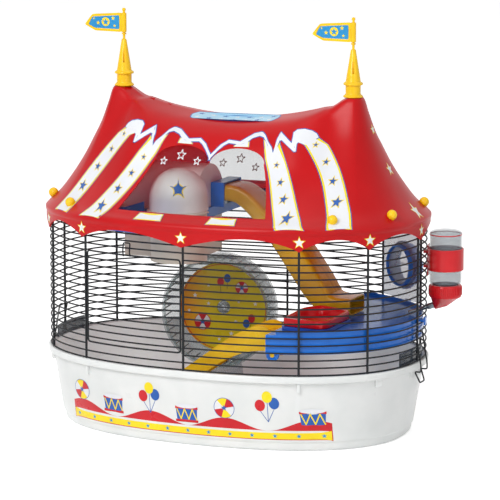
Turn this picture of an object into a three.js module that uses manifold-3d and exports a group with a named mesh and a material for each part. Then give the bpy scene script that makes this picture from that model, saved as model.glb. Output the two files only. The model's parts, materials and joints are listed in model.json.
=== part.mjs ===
// A small-animal cage shaped like a circus tent. A deep oval basin carries a wall of welded wire,
// and a moulded tent roof with two flag spires closes the top. Inside are an exercise wheel, a
// den under the roof with a chute, a raised deck with a food bowl, and a ramp. Outside are a
// drinking bottle, a tube port, a front door and two closing bails.
//
// Millimetres, +X to the right along the long axis, +Y to the back, +Z up. The origin is the
// middle of the basin's flat underside.

import * as THREE from 'three';
import { mergeVertices } from 'three/addons/utils/BufferGeometryUtils.js';
import Module from 'manifold-3d';

const wasm = await Module();
wasm.setup();

// ---------------------------------------------------------------- shared sizes
const FIT_GAP = 0.3;                // air left between two pieces that rest on or in each other
const RUN_GAP = 0.09;               // radial play of a piece that turns on another
const OVAL_POWER = 2.3;             // plan curve: 2 is an ellipse, higher is squarer
const RIM_HALF_LENGTH = 246.5;
const RIM_HALF_DEPTH = 168;
const RIM_TOP = 97;
const RIM_BAND = 9;                 // height of the band round the basin's edge
const BASIN_FLOOR = 4;
const BASIN_TAPER = 24;             // the basin's foot lies this far inside its rim
const PLINTH = 10.5;                // height of the stepped band round the foot

const WIRE_INSET = 3.5;             // the wires stand this far inside the rim's edge
const WIRE_HALF_LENGTH = RIM_HALF_LENGTH - WIRE_INSET;
const WIRE_HALF_DEPTH = RIM_HALF_DEPTH - WIRE_INSET;
const RING_RADIUS = 1;
const POST_RADIUS = 1.5;
const FIRST_RING = RIM_TOP + FIT_GAP + RING_RADIUS;
const RING_COUNT = 19;
const RING_PITCH = 9.04;
const TOP_RING = FIRST_RING + (RING_COUNT - 1) * RING_PITCH;
const POST_TOP = TOP_RING + RING_RADIUS;
const POST_ANGLES = [0, 30.8, 57.1, 90, 122.9, 149.2, 180, 210.8, 237.1, 270, 302.9, 329.2];

const ROOF_HALF_LENGTH = WIRE_HALF_LENGTH + 5;
const ROOF_HALF_DEPTH = WIRE_HALF_DEPTH + 7;
const ROOF_WALL = 2.2;
const SHOULDER_Z = POST_TOP + 13;   // fold between the skirt and the slope
const SKIRT_TIP_Z = POST_TOP - 11.5;
const SKIRT_CREST_Z = POST_TOP + 3;
const RIDGE_Z = SHOULDER_Z + 117;   // lowest point of the ridge, in the middle
const RIDGE_SAG = 17;               // rise of the ridge from the middle to the peaks' feet
const PEAK_X = 156;
const PEAK_Z = SHOULDER_Z + 147;

const DECK_X = 103;                 // straight left edge of the raised deck
const DECK_RING = FIRST_RING + 5 * RING_PITCH;   // the ring that the deck's tabs hang on
const DECK_SHEET = 2.5;
const DECK_TOP = DECK_RING + RING_RADIUS + FIT_GAP + DECK_SHEET;
const DECK_SKIRT = 24;
const DECK_INSET = 3.6;             // from the wires' middle to the deck's edge
const DECK_WALL = 2.5;

const LOFT_LEFT = -138;             // left and right edges of the deck under the roof
const LOFT_RIGHT = -30;
const LOFT_LOW = POST_TOP + FIT_GAP;
const LOFT_TOP = LOFT_LOW + 12.7;
const LOFT_SHEET = 2.5;
const LOFT_WING_Y = -72;               // front face of the low wall beside the den's bay

const COLOURS = {
  basin: [0xe4e6e2, 0.35],
  wire: [0x171b20, 0.45],
  roof: [0xc4141b, 0.25],
  yellow: [0xf0c61c, 0.3],
  blue: [0x1f5fb8, 0.3],
  red: [0xc8181e, 0.3],
  smoke: [0x3a4048, 0.25],
  clear: [0xcfdce2, 0.08],
  pane: [0x9fb4c4, 0.08],
  frosted: [0xd8d8d6, 0.35],
  amber: [0xd9a21c, 0.2],
  print: [0xe8c23a, 0.35],
  steel: [0xb8bcc0, 0.25],
};

const model = new THREE.Group();

// ---------------------------------------------------------------- helpers
function finish(name) {
  const [color, roughness] = COLOURS[name];
  const metalness = name === 'steel' ? 1 : 0;
  const see = { clear: 0.35, pane: 0.45, frosted: 0.6, amber: 0.8 }[name];
  return new THREE.MeshStandardMaterial({
    color, roughness, metalness, transparent: see !== undefined, opacity: see ?? 1,
  });
}

// Positions only, shared corners merged, and triangles without area dropped.
function welded(geometry) {
  const bare = geometry.clone();
  for (const name of Object.keys(bare.attributes)) {
    if (name !== 'position') bare.deleteAttribute(name);
  }
  const merged = mergeVertices(bare, 1e-3);
  const corners = merged.index.array;
  const kept = [];
  for (let i = 0; i < corners.length; i += 3) {
    const [a, b, c] = [corners[i], corners[i + 1], corners[i + 2]];
    if (a !== b && b !== c && c !== a) kept.push(a, b, c);
  }
  merged.setIndex(kept);
  return merged;
}

function solid(geometry) {
  const g = welded(geometry);
  const body = new wasm.Manifold(new wasm.Mesh({
    numProp: 3,
    vertProperties: Float32Array.from(g.attributes.position.array),
    triVerts: Uint32Array.from(g.index.array),
  }));
  return body.volume() < 0 ? solid(flipped(g)) : body;
}

function flipped(geometry) {
  const corners = Array.from(geometry.index.array);
  for (let i = 0; i < corners.length; i += 3) {
    [corners[i + 1], corners[i + 2]] = [corners[i + 2], corners[i + 1]];
  }
  const g = geometry.clone();
  g.setIndex(corners);
  return g;
}

function geometryOf(body) {
  const mesh = body.getMesh();
  const g = new THREE.BufferGeometry();
  g.setAttribute('position', new THREE.BufferAttribute(Float32Array.from(mesh.vertProperties), 3));
  g.setIndex(Array.from(mesh.triVerts));
  return g;
}

function join(bodies) {
  return wasm.Manifold.union(bodies);
}

// The biggest piece of a solid that a cut may have split.
function largest(body) {
  const pieces = body.decompose();
  return pieces.sort((a, b) => b.volume() - a.volume())[0];
}

function addPart(name, body, colour, parent = model) {
  const mesh = new THREE.Mesh(geometryOf(body), finish(colour));
  mesh.name = name;
  parent.add(mesh);
  return mesh;
}

function radians(degrees) {
  return THREE.MathUtils.degToRad(degrees);
}

function box(x0, x1, y0, y1, z0, z1) {
  const g = new THREE.BoxGeometry(x1 - x0, y1 - y0, z1 - z0);
  g.translate((x0 + x1) / 2, (y0 + y1) / 2, (z0 + z1) / 2);
  return solid(g);
}

// A cylinder or cone standing on +Z.
function rod(bottomRadius, topRadius, z0, z1, sides) {
  const g = new THREE.CylinderGeometry(topRadius, bottomRadius, z1 - z0, sides);
  g.rotateX(Math.PI / 2);
  g.translate(0, 0, (z0 + z1) / 2);
  return solid(g);
}

// A turned solid about +Z from [radius, z] pairs.
function turned(pairs, sides) {
  const g = new THREE.LatheGeometry(pairs.map(([r, z]) => new THREE.Vector2(r, z)), sides);
  g.rotateX(Math.PI / 2);
  return solid(g);
}

// A flat outline of [x, y] pairs raised from z0 to z1.
function slab(outline, z0, z1) {
  const shape = new THREE.Shape(outline.map(([x, y]) => new THREE.Vector2(x, y)));
  const g = new THREE.ExtrudeGeometry(shape, { depth: z1 - z0, bevelEnabled: false });
  g.translate(0, 0, z0);
  return solid(g);
}

// A flat outline of [x, z] pairs carried along Y from y0 to y1.
function sideSlab(outline, y0, y1) {
  const shape = new THREE.Shape(outline.map(([x, z]) => new THREE.Vector2(x, z)));
  const g = new THREE.ExtrudeGeometry(shape, { depth: y1 - y0, bevelEnabled: false });
  g.rotateX(Math.PI / 2);
  g.translate(0, y1, 0);
  return solid(g);
}

// A closed solid through a row of sections, each a ring of equally many points, with flat ends.
// A cylinder of the same count of sides and steps is pulled onto the sections.
function swept(sections) {
  const sides = sections[0].length;
  const g = new THREE.CylinderGeometry(1, 1, 1, sides, sections.length - 1);
  const p = g.attributes.position;
  const ring = sides + 1;
  const wall = ring * sections.length;
  for (let i = 0; i < wall; i += 1) {
    p.setXYZ(i, ...sections[Math.floor(i / ring)][(i % ring) % sides]);
  }
  let at = wall;
  for (const cap of [sections[0], sections[sections.length - 1]]) {
    const middle = [0, 1, 2].map((axis) => cap.reduce((sum, q) => sum + q[axis], 0) / sides);
    for (let i = 0; i < sides; i += 1) p.setXYZ(at + i, ...middle);
    at += sides;
    for (let i = 0; i < ring; i += 1) p.setXYZ(at + i, ...cap[i % sides]);
    at += ring;
  }
  return solid(g);
}

// A round wire through corner points, mitred at each corner.
function bentWire(points, radius, sides) {
  const corners = points.map((q) => new THREE.Vector3(...q));
  const runs = corners.slice(1).map((q, i) => q.clone().sub(corners[i]).normalize());
  const across = new THREE.Vector3(0, 0, 1);
  if (Math.abs(runs[0].z) > 0.9) across.set(1, 0, 0);
  let u = across.cross(runs[0]).normalize();
  const sections = corners.map((corner, i) => {
    const into = runs[Math.max(0, i - 1)];
    const out = runs[Math.min(runs.length - 1, i)];
    const v = new THREE.Vector3().crossVectors(into, u);
    const mitre = into.clone().add(out).normalize();
    const section = Array.from({ length: sides }, (_, k) => {
      const angle = 2 * Math.PI * k / sides;
      const offset = u.clone().multiplyScalar(radius * Math.cos(angle))
        .addScaledVector(v, radius * Math.sin(angle));
      offset.addScaledVector(into, -offset.dot(mitre) / into.dot(mitre));
      return corner.clone().add(offset).toArray();
    });
    u = u.clone().applyQuaternion(new THREE.Quaternion().setFromUnitVectors(into, out));
    return section;
  });
  return swept(sections);
}

function starOutline(radius, turn = 0, waist = 0.42) {
  return Array.from({ length: 10 }, (_, i) => {
    const angle = turn + Math.PI / 2 + i * Math.PI / 5;
    const r = i % 2 ? radius * waist : radius;
    return [r * Math.cos(angle), r * Math.sin(angle)];
  });
}

// A point of the plan curve at an angle, for given half sizes.
function ovalPoint(angle, halfLength, halfDepth) {
  const c = Math.cos(angle);
  const s = Math.sin(angle);
  const power = 2 / OVAL_POWER;
  return [
    halfLength * Math.sign(c) * Math.abs(c) ** power,
    halfDepth * Math.sign(s) * Math.abs(s) ** power,
  ];
}

// A stretch of the plan curve at one height, followed by a wire.
class OvalArc extends THREE.Curve {
  constructor(fromAngle, toAngle, halfLength, halfDepth, z) {
    super();
    Object.assign(this, { fromAngle, toAngle, halfLength, halfDepth, z });
  }

  getPoint(t, target = new THREE.Vector3()) {
    const angle = THREE.MathUtils.lerp(this.fromAngle, this.toAngle, t);
    const [x, y] = ovalPoint(angle, this.halfLength, this.halfDepth);
    return target.set(x, y, this.z);
  }
}

function squareSection(half) {
  return new THREE.Shape([
    new THREE.Vector2(-half, -half),
    new THREE.Vector2(half, -half),
    new THREE.Vector2(half, half),
    new THREE.Vector2(-half, half),
  ]);
}

// A band that follows the plan curve between two angles, from z0 to z1.
function ovalBand(fromDegrees, toDegrees, outerInset, thickness, z0, z1, steps) {
  const outline = [];
  for (const [inset, forward] of [[outerInset, true], [outerInset + thickness, false]]) {
    for (let i = 0; i <= steps; i += 1) {
      const t = forward ? i / steps : 1 - i / steps;
      const angle = radians(THREE.MathUtils.lerp(fromDegrees, toDegrees, t));
      outline.push(ovalPoint(angle, RIM_HALF_LENGTH - inset, RIM_HALF_DEPTH - inset));
    }
  }
  return slab(outline, z0, z1);
}

// A shell or bowl that is turned like a lathe work piece and then pulled to the plan curve.
// The profile holds [inset from the rim, z] pairs, and a null inset is the axis.
function ovalTurned(profile, sides) {
  const pairs = profile.map(([inset, z]) => new THREE.Vector2(inset === null ? 0 : 1000 - inset, z));
  const g = new THREE.LatheGeometry(pairs, sides);
  const p = g.attributes.position;
  for (let i = 0; i < p.count; i += 1) {
    const [x, z, y] = [p.getX(i), p.getY(i), p.getZ(i)];
    const reach = Math.hypot(x, y);
    if (reach < 1) {
      p.setXYZ(i, 0, 0, z);
    } else {
      const inset = 1000 - reach;
      const [px, py] = ovalPoint(Math.atan2(y, x), RIM_HALF_LENGTH - inset, RIM_HALF_DEPTH - inset);
      p.setXYZ(i, px, py, z);
    }
  }
  return solid(g);
}

// ---------------------------------------------------------------- basin
function buildBasin() {
  const foot = BASIN_TAPER;
  const bandLow = RIM_TOP - RIM_BAND;
  const profile = [
    [null, 0],
    [foot, 0],
    [foot - 3, 3],
    [foot - 4, PLINTH],
    [foot - 6, PLINTH + 2],
    [6, bandLow],
    [0.5, bandLow],
    [0, RIM_TOP - 1.5],
    [1, RIM_TOP],
    [9, RIM_TOP],
    [9.5, RIM_TOP - 4],
    [foot - 2.5, BASIN_FLOOR + 20],
    [foot + 3, BASIN_FLOOR + 4],
    [foot + 9, BASIN_FLOOR],
    [null, BASIN_FLOOR],
  ];
  addPart('basin', ovalTurned(profile, 48), 'basin');
}

// ---------------------------------------------------------------- wire wall
function postPoint(index) {
  return ovalPoint(radians(POST_ANGLES[index % 12]), WIRE_HALF_LENGTH, WIRE_HALF_DEPTH);
}

function bayAngles(index) {
  const from = POST_ANGLES[index];
  const to = index === 11 ? 360 : POST_ANGLES[index + 1];
  return [from, to];
}

// The angle inside a bay at which the plan curve is a given distance from one of its posts.
function angleFromPost(bay, distance, fromFarPost) {
  const [from, to] = bayAngles(bay);
  const [start, other] = fromFarPost ? [to, from] : [from, to];
  const [px, py] = ovalPoint(radians(start), WIRE_HALF_LENGTH, WIRE_HALF_DEPTH);
  let [near, far] = [start, other];
  for (let i = 0; i < 40; i += 1) {
    const middle = (near + far) / 2;
    const [x, y] = ovalPoint(radians(middle), WIRE_HALF_LENGTH, WIRE_HALF_DEPTH);
    if (Math.hypot(x - px, y - py) < distance) near = middle;
    else far = middle;
  }
  return (near + far) / 2;
}

function ringPiece(fromDegrees, toDegrees, z, steps = 2) {
  const arc = new OvalArc(radians(fromDegrees), radians(toDegrees), WIRE_HALF_LENGTH,
    WIRE_HALF_DEPTH, z);
  return solid(new THREE.ExtrudeGeometry(squareSection(RING_RADIUS * 0.88), {
    steps, extrudePath: arc, bevelEnabled: false,
  }));
}

function post(index) {
  const [x, y] = postPoint(index);
  return rod(POST_RADIUS, POST_RADIUS, RIM_TOP + FIT_GAP, POST_TOP, 6).translate([x, y, 0]);
}

const DOOR_BAY = 8;
const DOOR_WIRE = 1.1;
const DOOR_MARGIN = POST_RADIUS + DOOR_WIRE + 1;   // from a post's middle to the door's upright
const DOOR_RINGS = [3, 14];          // first and last ring height that the door bridges
const DOOR_BOTTOM = FIRST_RING + 2 * RING_PITCH + 2 * RING_RADIUS + 0.7;
const DOOR_TOP = FIRST_RING + (DOOR_RINGS[1] + 1) * RING_PITCH;
const PORT_BAY = 1;
const PORT_Z = FIRST_RING + 10.7 * RING_PITCH;
const PORT_HALF_HEIGHT = 43;

// One bay of the wall: a post, and the rings that run from it to the next post.
function buildWireBays() {
  const names = ['right_back_end', 'right_back_port', 'back_right', 'back_left', 'left_back',
    'left_back_end', 'left_front_end', 'left_front', 'front_door', 'front_right', 'right_front',
    'right_front_end'];
  for (let bay = 0; bay < 12; bay += 1) {
    const [from] = bayAngles(bay);
    const end = angleFromPost(bay, POST_RADIUS + FIT_GAP + RING_RADIUS, true);
    const pieces = [post(bay)];
    for (let ring = 0; ring < RING_COUNT; ring += 1) {
      const z = FIRST_RING + ring * RING_PITCH;
      const behindDoor = bay === DOOR_BAY && z > DOOR_BOTTOM - 4 && z < DOOR_TOP + 4;
      const behindPort = bay === PORT_BAY && Math.abs(z - PORT_Z) < PORT_HALF_HEIGHT + 2;
      if (!behindDoor && !behindPort) pieces.push(ringPiece(from, end, z));
    }
    addPart(`wire_${names[bay]}`, join(pieces), 'wire');
  }
}

// Front door: a bent frame with the same ring spacing, hinged along its lower edge.
function buildDoor() {
  const a = angleFromPost(DOOR_BAY, DOOR_MARGIN, false);
  const b = angleFromPost(DOOR_BAY, DOOR_MARGIN, true);
  const pieces = [ringPiece(a, b, DOOR_BOTTOM), ringPiece(a, b, DOOR_TOP)];
  for (const angle of [a, b]) {
    const [x, y] = ovalPoint(radians(angle), WIRE_HALF_LENGTH, WIRE_HALF_DEPTH);
    pieces.push(rod(DOOR_WIRE, DOOR_WIRE, DOOR_BOTTOM - 1, DOOR_TOP + 1, 6).translate([x, y, 0]));
  }
  for (let ring = DOOR_RINGS[0]; ring <= DOOR_RINGS[1]; ring += 1) {
    pieces.push(ringPiece(a, b, FIRST_RING + ring * RING_PITCH));
  }
  pieces.push(doorLatch(THREE.MathUtils.lerp(a, b, 0.52)));
  addPart('front_door', join(pieces), 'wire');
}

// The latch is a loop of the door's top wire that springs over the ring above it.
function doorLatch(degrees) {
  const half = 4.5;
  const out = 3.2;
  const reach = 1.77 * RING_PITCH;
  const [x, y] = ovalPoint(radians(degrees), WIRE_HALF_LENGTH, WIRE_HALF_DEPTH);
  return bentWire([
    [x - half, y - 1.2, DOOR_TOP],
    [x - half, y - out, DOOR_TOP + 5],
    [x - half + 1, y - out, DOOR_TOP + reach],
    [x + half + 1, y - out, DOOR_TOP + reach],
    [x + half, y - out, DOOR_TOP + 5],
    [x + half, y - 1.2, DOOR_TOP],
  ], 0.9, 5);
}

// ---------------------------------------------------------------- tent roof
// Slope profiles from the shoulder to the ridge: [share of the way in, share of the way up].
const SIDE_PROFILE = [
  [0, 0], [0.02, 0.035], [0.12, 0.1], [0.31, 0.3], [0.43, 0.47], [0.515, 0.64], [0.58, 0.77],
  [0.66, 0.88], [0.78, 0.96], [1, 1],
];
const END_PROFILE = [
  [0, 0], [0.05, 0.035], [0.2, 0.13], [0.365, 0.28], [0.505, 0.43], [0.62, 0.58], [0.715, 0.71],
  [0.8, 0.87], [0.872, 1], [1, 1],
];

const ROOF_STEPS = 4;                // columns of the roof's surface in each bay
const SKIRT_FOLD = 5;                // height of the rounded fold above the skirt
const HIP_RUN = 43;                  // from the roof's end to where the ridge meets the peak

function smooth(low, high, x) {
  return THREE.MathUtils.smoothstep(x, low, high);
}

function ridgeHeight(x) {
  const reach = Math.abs(x);
  const sag = RIDGE_Z + RIDGE_SAG * Math.min(1, reach / (PEAK_X - 36)) ** 2;
  return THREE.MathUtils.lerp(sag, PEAK_Z, smooth(PEAK_X - 32, PEAK_X - 5, reach));
}

function skirtBottom(angle) {
  const degrees = (THREE.MathUtils.radToDeg(angle) + 360) % 360;
  const bounds = [...POST_ANGLES, 360];
  const bay = Math.min(11, bounds.findIndex((_, i) => degrees < bounds[i + 1]));
  const t = (degrees - bounds[bay]) / (bounds[bay + 1] - bounds[bay]);
  const arch = Math.sin(Math.PI * t) ** 0.8;
  return THREE.MathUtils.lerp(SKIRT_TIP_Z, SKIRT_CREST_Z, arch);
}

// A point of the roof: row -2 is the skirt's lower edge, -1 the skirt's top, and 0 to 9 the slope.
// Depth is how far the point lies inside the outer surface.
function roofPoint(angle, row, depth) {
  const [x, y] = ovalPoint(angle, ROOF_HALF_LENGTH - depth, ROOF_HALF_DEPTH - depth);
  if (row === -2) return [x, y, skirtBottom(angle)];
  const shoulder = SHOULDER_Z - 0.5 * depth;
  if (row === -1) return [x, y, shoulder - SKIRT_FOLD];
  const ridgeX = PEAK_X * THREE.MathUtils.clamp(x / (ROOF_HALF_LENGTH - HIP_RUN), -1, 1);
  const ridgeZ = ridgeHeight(ridgeX) - 1.15 * depth;
  const endShare = smooth(PEAK_X - 66, PEAK_X - 8, Math.abs(ridgeX));
  const inShare = THREE.MathUtils.lerp(SIDE_PROFILE[row][0], END_PROFILE[row][0], endShare);
  const upShare = THREE.MathUtils.lerp(SIDE_PROFILE[row][1], END_PROFILE[row][1], endShare);
  return [
    THREE.MathUtils.lerp(x, ridgeX, inShare),
    y * (1 - inShare),
    THREE.MathUtils.lerp(shoulder, ridgeZ, upShare),
  ];
}

// Columns at the posts and at even steps between them, so that each scallop is alike.
function roofAngles(steps) {
  const bounds = [...POST_ANGLES, 360];
  const angles = [];
  for (let bay = 0; bay < 12; bay += 1) {
    for (let i = 0; i < steps; i += 1) {
      angles.push(radians(THREE.MathUtils.lerp(bounds[bay], bounds[bay + 1], i / steps)));
    }
  }
  return angles;
}

// Everything under the surface that lies at one depth inside the roof's outer surface. Its open
// underside is closed by a shallow cone, and drop lowers the skirt's edge to make a longer cutter.
// A lathe turned from evenly spaced rows is pulled onto the roof, point by point.
function roofSolid(depth, drop = 0) {
  const angles = roofAngles(ROOF_STEPS);
  const rows = [null, -2, -1, 0, 1, 2, 3, 4, 5, 6, 7, 8, 9];
  const profile = rows.map((_, i) => new THREE.Vector2(1, i));
  const g = new THREE.LatheGeometry(profile, angles.length);
  const p = g.attributes.position;
  for (let i = 0; i < p.count; i += 1) {
    const column = Math.floor(i / rows.length) % angles.length;
    const row = rows[i % rows.length];
    if (row === null) {
      p.setXYZ(i, 0, 0, SKIRT_TIP_Z - drop);
    } else {
      const [x, y, z] = roofPoint(angles[column], row, depth);
      p.setXYZ(i, x, y, row === -2 ? z - drop : z);
    }
  }
  return solid(g);
}

// The wall between two depths below the roof's outer surface.
function roofShell(outerDepth, innerDepth) {
  return roofSolid(outerDepth).subtract(roofSolid(innerDepth, 40));
}

// The double-arched window: half widths, and heights above the shoulder.
const WINDOW = {
  halfBottom: 99, halfTop: 73, sill: 12, spring: 69, archRise: 18, valley: 68,
};

// The window's outline as [x, z] pairs seen from the front, grown by a margin.
function windowOutline(margin) {
  const w = WINDOW;
  const sill = SHOULDER_Z + w.sill - margin;
  const spring = SHOULDER_Z + w.spring;
  const valley = SHOULDER_Z + w.valley;
  const arch = [1, 2, 3, 4, 5, 6].map((i) => {
    const x = w.halfTop / 2 * (1 + Math.cos(Math.PI * i / 7)) + 0.5;
    const base = THREE.MathUtils.lerp(spring, valley, i / 7);
    return [x, base + margin + w.archRise * Math.sin(Math.PI * i / 7)];
  });
  return [
    [-w.halfBottom - margin * 1.3, sill],
    [w.halfBottom + margin * 1.3, sill],
    [w.halfTop + margin, spring],
    ...arch,
    [0, valley + margin],
    ...arch.map(([x, z]) => [-x, z]).reverse(),
    [-w.halfTop - margin, spring],
  ];
}

const VENTS = [[-116, 6.5], [-92, 4.5]];      // star vents on the ridge: [x, radius]
const SPIRE_PEG = { radius: 5, length: 7 };     // peg under each spire
const LUG_HALF = 1.6;

// Ribs inside the skirt that rest on the tops of the posts.
function seatLugs() {
  const lugs = POST_ANGLES.map((degrees) => {
    const [x, y] = ovalPoint(radians(degrees), WIRE_HALF_LENGTH, WIRE_HALF_DEPTH);
    const heading = Math.atan2(y / WIRE_HALF_DEPTH ** 2, x / WIRE_HALF_LENGTH ** 2);
    const lug = box(-6, 8.5, -LUG_HALF, LUG_HALF, POST_TOP + FIT_GAP, SHOULDER_Z + 24);
    return lug.rotate([0, 0, THREE.MathUtils.radToDeg(heading)]).translate([x, y, 0]);
  });
  return join(lugs).intersect(roofSolid(ROOF_WALL * 0.6));
}

function buildRoof() {
  const shell = roofShell(0, ROOF_WALL);
  const cuts = [
    sideSlab(windowOutline(0), -ROOF_HALF_DEPTH, -20),
    sideSlab(windowOutline(0), 20, ROOF_HALF_DEPTH),
  ];
  for (const [x, radius] of VENTS) {
    cuts.push(slab(starOutline(radius), RIDGE_Z - 12, PEAK_Z + 8).translate([x, 0, 0]));
  }
  const bore = SPIRE_PEG.radius + FIT_GAP;
  for (const side of [-1, 1]) {
    cuts.push(rod(bore, bore, PEAK_Z - 20, PEAK_Z + 5, 16).translate([side * PEAK_X, 0, 0]));
  }
  addPart('roof', shell.subtract(join(cuts)).add(seatLugs()), 'roof');
}

const PANE_SHEET = 1.55;
const PANE_LAP = 4;                            // the panes overlap the window's edge inside

function buildPanes() {
  const outer = ROOF_WALL + 1.5 * FIT_GAP;
  const layer = roofShell(outer, outer + PANE_SHEET);
  const front = layer.intersect(sideSlab(windowOutline(PANE_LAP), -ROOF_HALF_DEPTH, -20));
  const back = layer.intersect(sideSlab(windowOutline(PANE_LAP), 20, ROOF_HALF_DEPTH));
  addPart('pane_front', front, 'pane');
  addPart('pane_back', back, 'pane');
}

// A point of the outer surface between rows, at an angle in degrees.
function roofSpot(degrees, climb) {
  const row = Math.floor(climb);
  const low = roofPoint(radians(degrees), row, 0);
  const high = roofPoint(radians(degrees), row + 1, 0);
  return low.map((value, axis) => THREE.MathUtils.lerp(value, high[axis], climb - row));
}

// Balloon-shaped studs on the slope: angle from the nearer end of the long axis.
const STUD_ANGLES = { side: 46, end: 18 };
const STUD_CLIMB = 1.6;
const STUD_RADIUS = 6.2;

function buildStuds() {
  const outside = roofSolid(-FIT_GAP);
  for (const [place, angle] of Object.entries(STUD_ANGLES)) {
    for (const [where, degrees] of [['right_back', angle], ['left_back', 180 - angle],
      ['left_front', 180 + angle], ['right_front', 360 - angle]]) {
      const [x, y, z] = roofSpot(degrees, STUD_CLIMB);
      const [cx, cy] = [x * 1.012, y * 1.012];
      const head = new THREE.SphereGeometry(STUD_RADIUS, 8, 5);
      head.translate(cx, cy, z + 2);
      const tail = rod(0.9, 2.6, z - 8, z - 1, 6).translate([cx * 1.004, cy * 1.004, 0]);
      const stud = join([solid(head), tail]).subtract(outside);
      addPart(`stud_${where}_${place}`, largest(stud), 'yellow');
    }
  }
}

// ---------------------------------------------------------------- spires and flags
// Radii, and heights above the peak.
const SPIRE = {
  footRadius: 12.6, neckRadius: 9.4, ringRadius: 12.2, poleRadius: 1.6, neck: 5, ring: 15,
  cone: 20, coneTop: 59, collar: 65, top: 99, slotLow: 30, slotHigh: 44, slotHalf: 1.1,
};
const FLAG = {
  low: PEAK_Z + SPIRE.collar + 3, high: PEAK_Z + SPIRE.collar + 27.5, reach: 55,
  sleeveRadius: 3.3, plate: 1.8, border: 3.2, panel: 1.2,
};

function buildSpire(name, x) {
  const s = SPIRE;
  const peg = SPIRE_PEG;
  const foot = FIT_GAP;
  const spire = turned([
    [0, foot - peg.length], [peg.radius, foot - peg.length], [peg.radius, foot],
    [s.footRadius - 1, foot], [s.footRadius, foot + 1.5], [s.neckRadius, s.neck],
    [s.neckRadius, s.ring], [s.ringRadius, s.ring + 1], [s.ringRadius, s.ring + 3],
    [s.neckRadius, s.cone], [3, s.coneTop], [s.poleRadius, s.coneTop],
    [s.poleRadius, s.collar], [3, s.collar], [3, s.collar + 2.2],
    [s.poleRadius, s.collar + 2.2], [s.poleRadius, s.top - 4], [2.4, s.top - 3.2],
    [2.4, s.top - 1.2], [0, s.top],
  ], 12);
  const slots = [0, 90, 180, 270].map((turn) => (
    box(4.5, 12, -s.slotHalf, s.slotHalf, s.slotLow, s.slotHigh).rotate([0, 0, turn + 22])));
  addPart(name, spire.subtract(join(slots)).translate([x, 0, PEAK_Z]), 'yellow');
}

// The flag's outline is a pennant whose fly end comes to a blunt point.
function flagOutline(inset) {
  const f = FLAG;
  return [
    [-3.0 - inset, f.low + inset],
    [-40, f.low + 0.5 + inset],
    [-f.reach + inset * 1.6, f.low + 8],
    [-44, f.high - 3 - inset],
    [-3.0 - inset, f.high - inset],
  ];
}

function buildFlag(side, x) {
  const f = FLAG;
  const boreRadius = SPIRE.poleRadius + RUN_GAP;
  const sleeve = rod(f.sleeveRadius, f.sleeveRadius, f.low, f.high, 12);
  const bore = rod(boreRadius, boreRadius, f.low - 1, f.high + 1, 12);
  const outline = flagOutline(0).map(([px, pz]) => [Math.min(px, -2.6), pz]);
  const plate = sideSlab(outline, -f.plate / 2, f.plate / 2);
  const pocket = sideSlab(flagOutline(f.border), -f.plate, f.plate);
  const frame = join([sleeve, plate]).subtract(join([bore, pocket]));
  const insert = sideSlab(flagOutline(f.border + FIT_GAP), -f.panel / 2, f.panel / 2);
  addPart(`flag_frame_${side}`, frame.translate([x, 0, 0]), 'yellow');
  addPart(`flag_panel_${side}`, insert.translate([x, 0, 0]), 'blue');
}

// ---------------------------------------------------------------- raised deck and bowl
const BOWL_OUTLINE = [
  [DECK_X + 6, -114], [DECK_X + 57, -119], [DECK_X + 65, -110], [DECK_X + 65, -34],
  [DECK_X + 18, -13], [DECK_X + 3, -38],
];
const BOWL = {
  rim: DECK_TOP + 14.7, lip: DECK_TOP + 5.2, foot: DECK_TOP + FIT_GAP, wall: 2.5, ledge: 2.6,
};
const RAMP_PIVOT = [DECK_X + 7, DECK_TOP - 25.3];      // x and z of the pegs
const PEG = 3;
const PEG_SIDES = 14;
const RAMP_FRONT = -118;
const RAMP_BACK = -72;
const RAMP_WALL = 2.4;
const LUG_SPOTS = [RAMP_FRONT - 26, RAMP_BACK + 11];   // y of the lugs that carry the pegs
const LUG_RADIUS = 8;
const LUG_THICK = 4;

// Moves each corner of an outline towards its middle.
function shrunk(outline, distance) {
  const cx = outline.reduce((sum, [x]) => sum + x, 0) / outline.length;
  const cy = outline.reduce((sum, [, y]) => sum + y, 0) / outline.length;
  return outline.map(([x, y]) => {
    const reach = Math.hypot(x - cx, y - cy);
    const scale = (reach - distance * 1.25) / reach;
    return [cx + (x - cx) * scale, cy + (y - cy) * scale];
  });
}

function deckOutline(inset) {
  const outline = [];
  const halfLength = WIRE_HALF_LENGTH - inset;
  const halfDepth = WIRE_HALF_DEPTH - inset;
  const edge = DECK_X + inset - DECK_INSET;
  const limit = Math.acos((edge / halfLength) ** (OVAL_POWER / 2));
  for (let i = 0; i <= 18; i += 1) {
    const angle = THREE.MathUtils.lerp(-limit, limit, i / 18);
    outline.push(ovalPoint(angle, halfLength, halfDepth));
  }
  return outline;
}

function deckTab(degrees) {
  const [x, y] = ovalPoint(radians(degrees), WIRE_HALF_LENGTH, WIRE_HALF_DEPTH);
  const heading = THREE.MathUtils.radToDeg(
    Math.atan2(y / WIRE_HALF_DEPTH ** 2, x / WIRE_HALF_LENGTH ** 2));
  const inside = RING_RADIUS + 1.2;
  const outside = inside + 2.3;
  const tab = join([
    box(-8, outside, -5, 5, DECK_TOP - DECK_SHEET, DECK_TOP),
    box(inside, outside, -5, 5, DECK_RING - 3, DECK_TOP + 3),
  ]);
  return tab.rotate([0, 0, heading]).translate([x, y, 0]);
}

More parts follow.
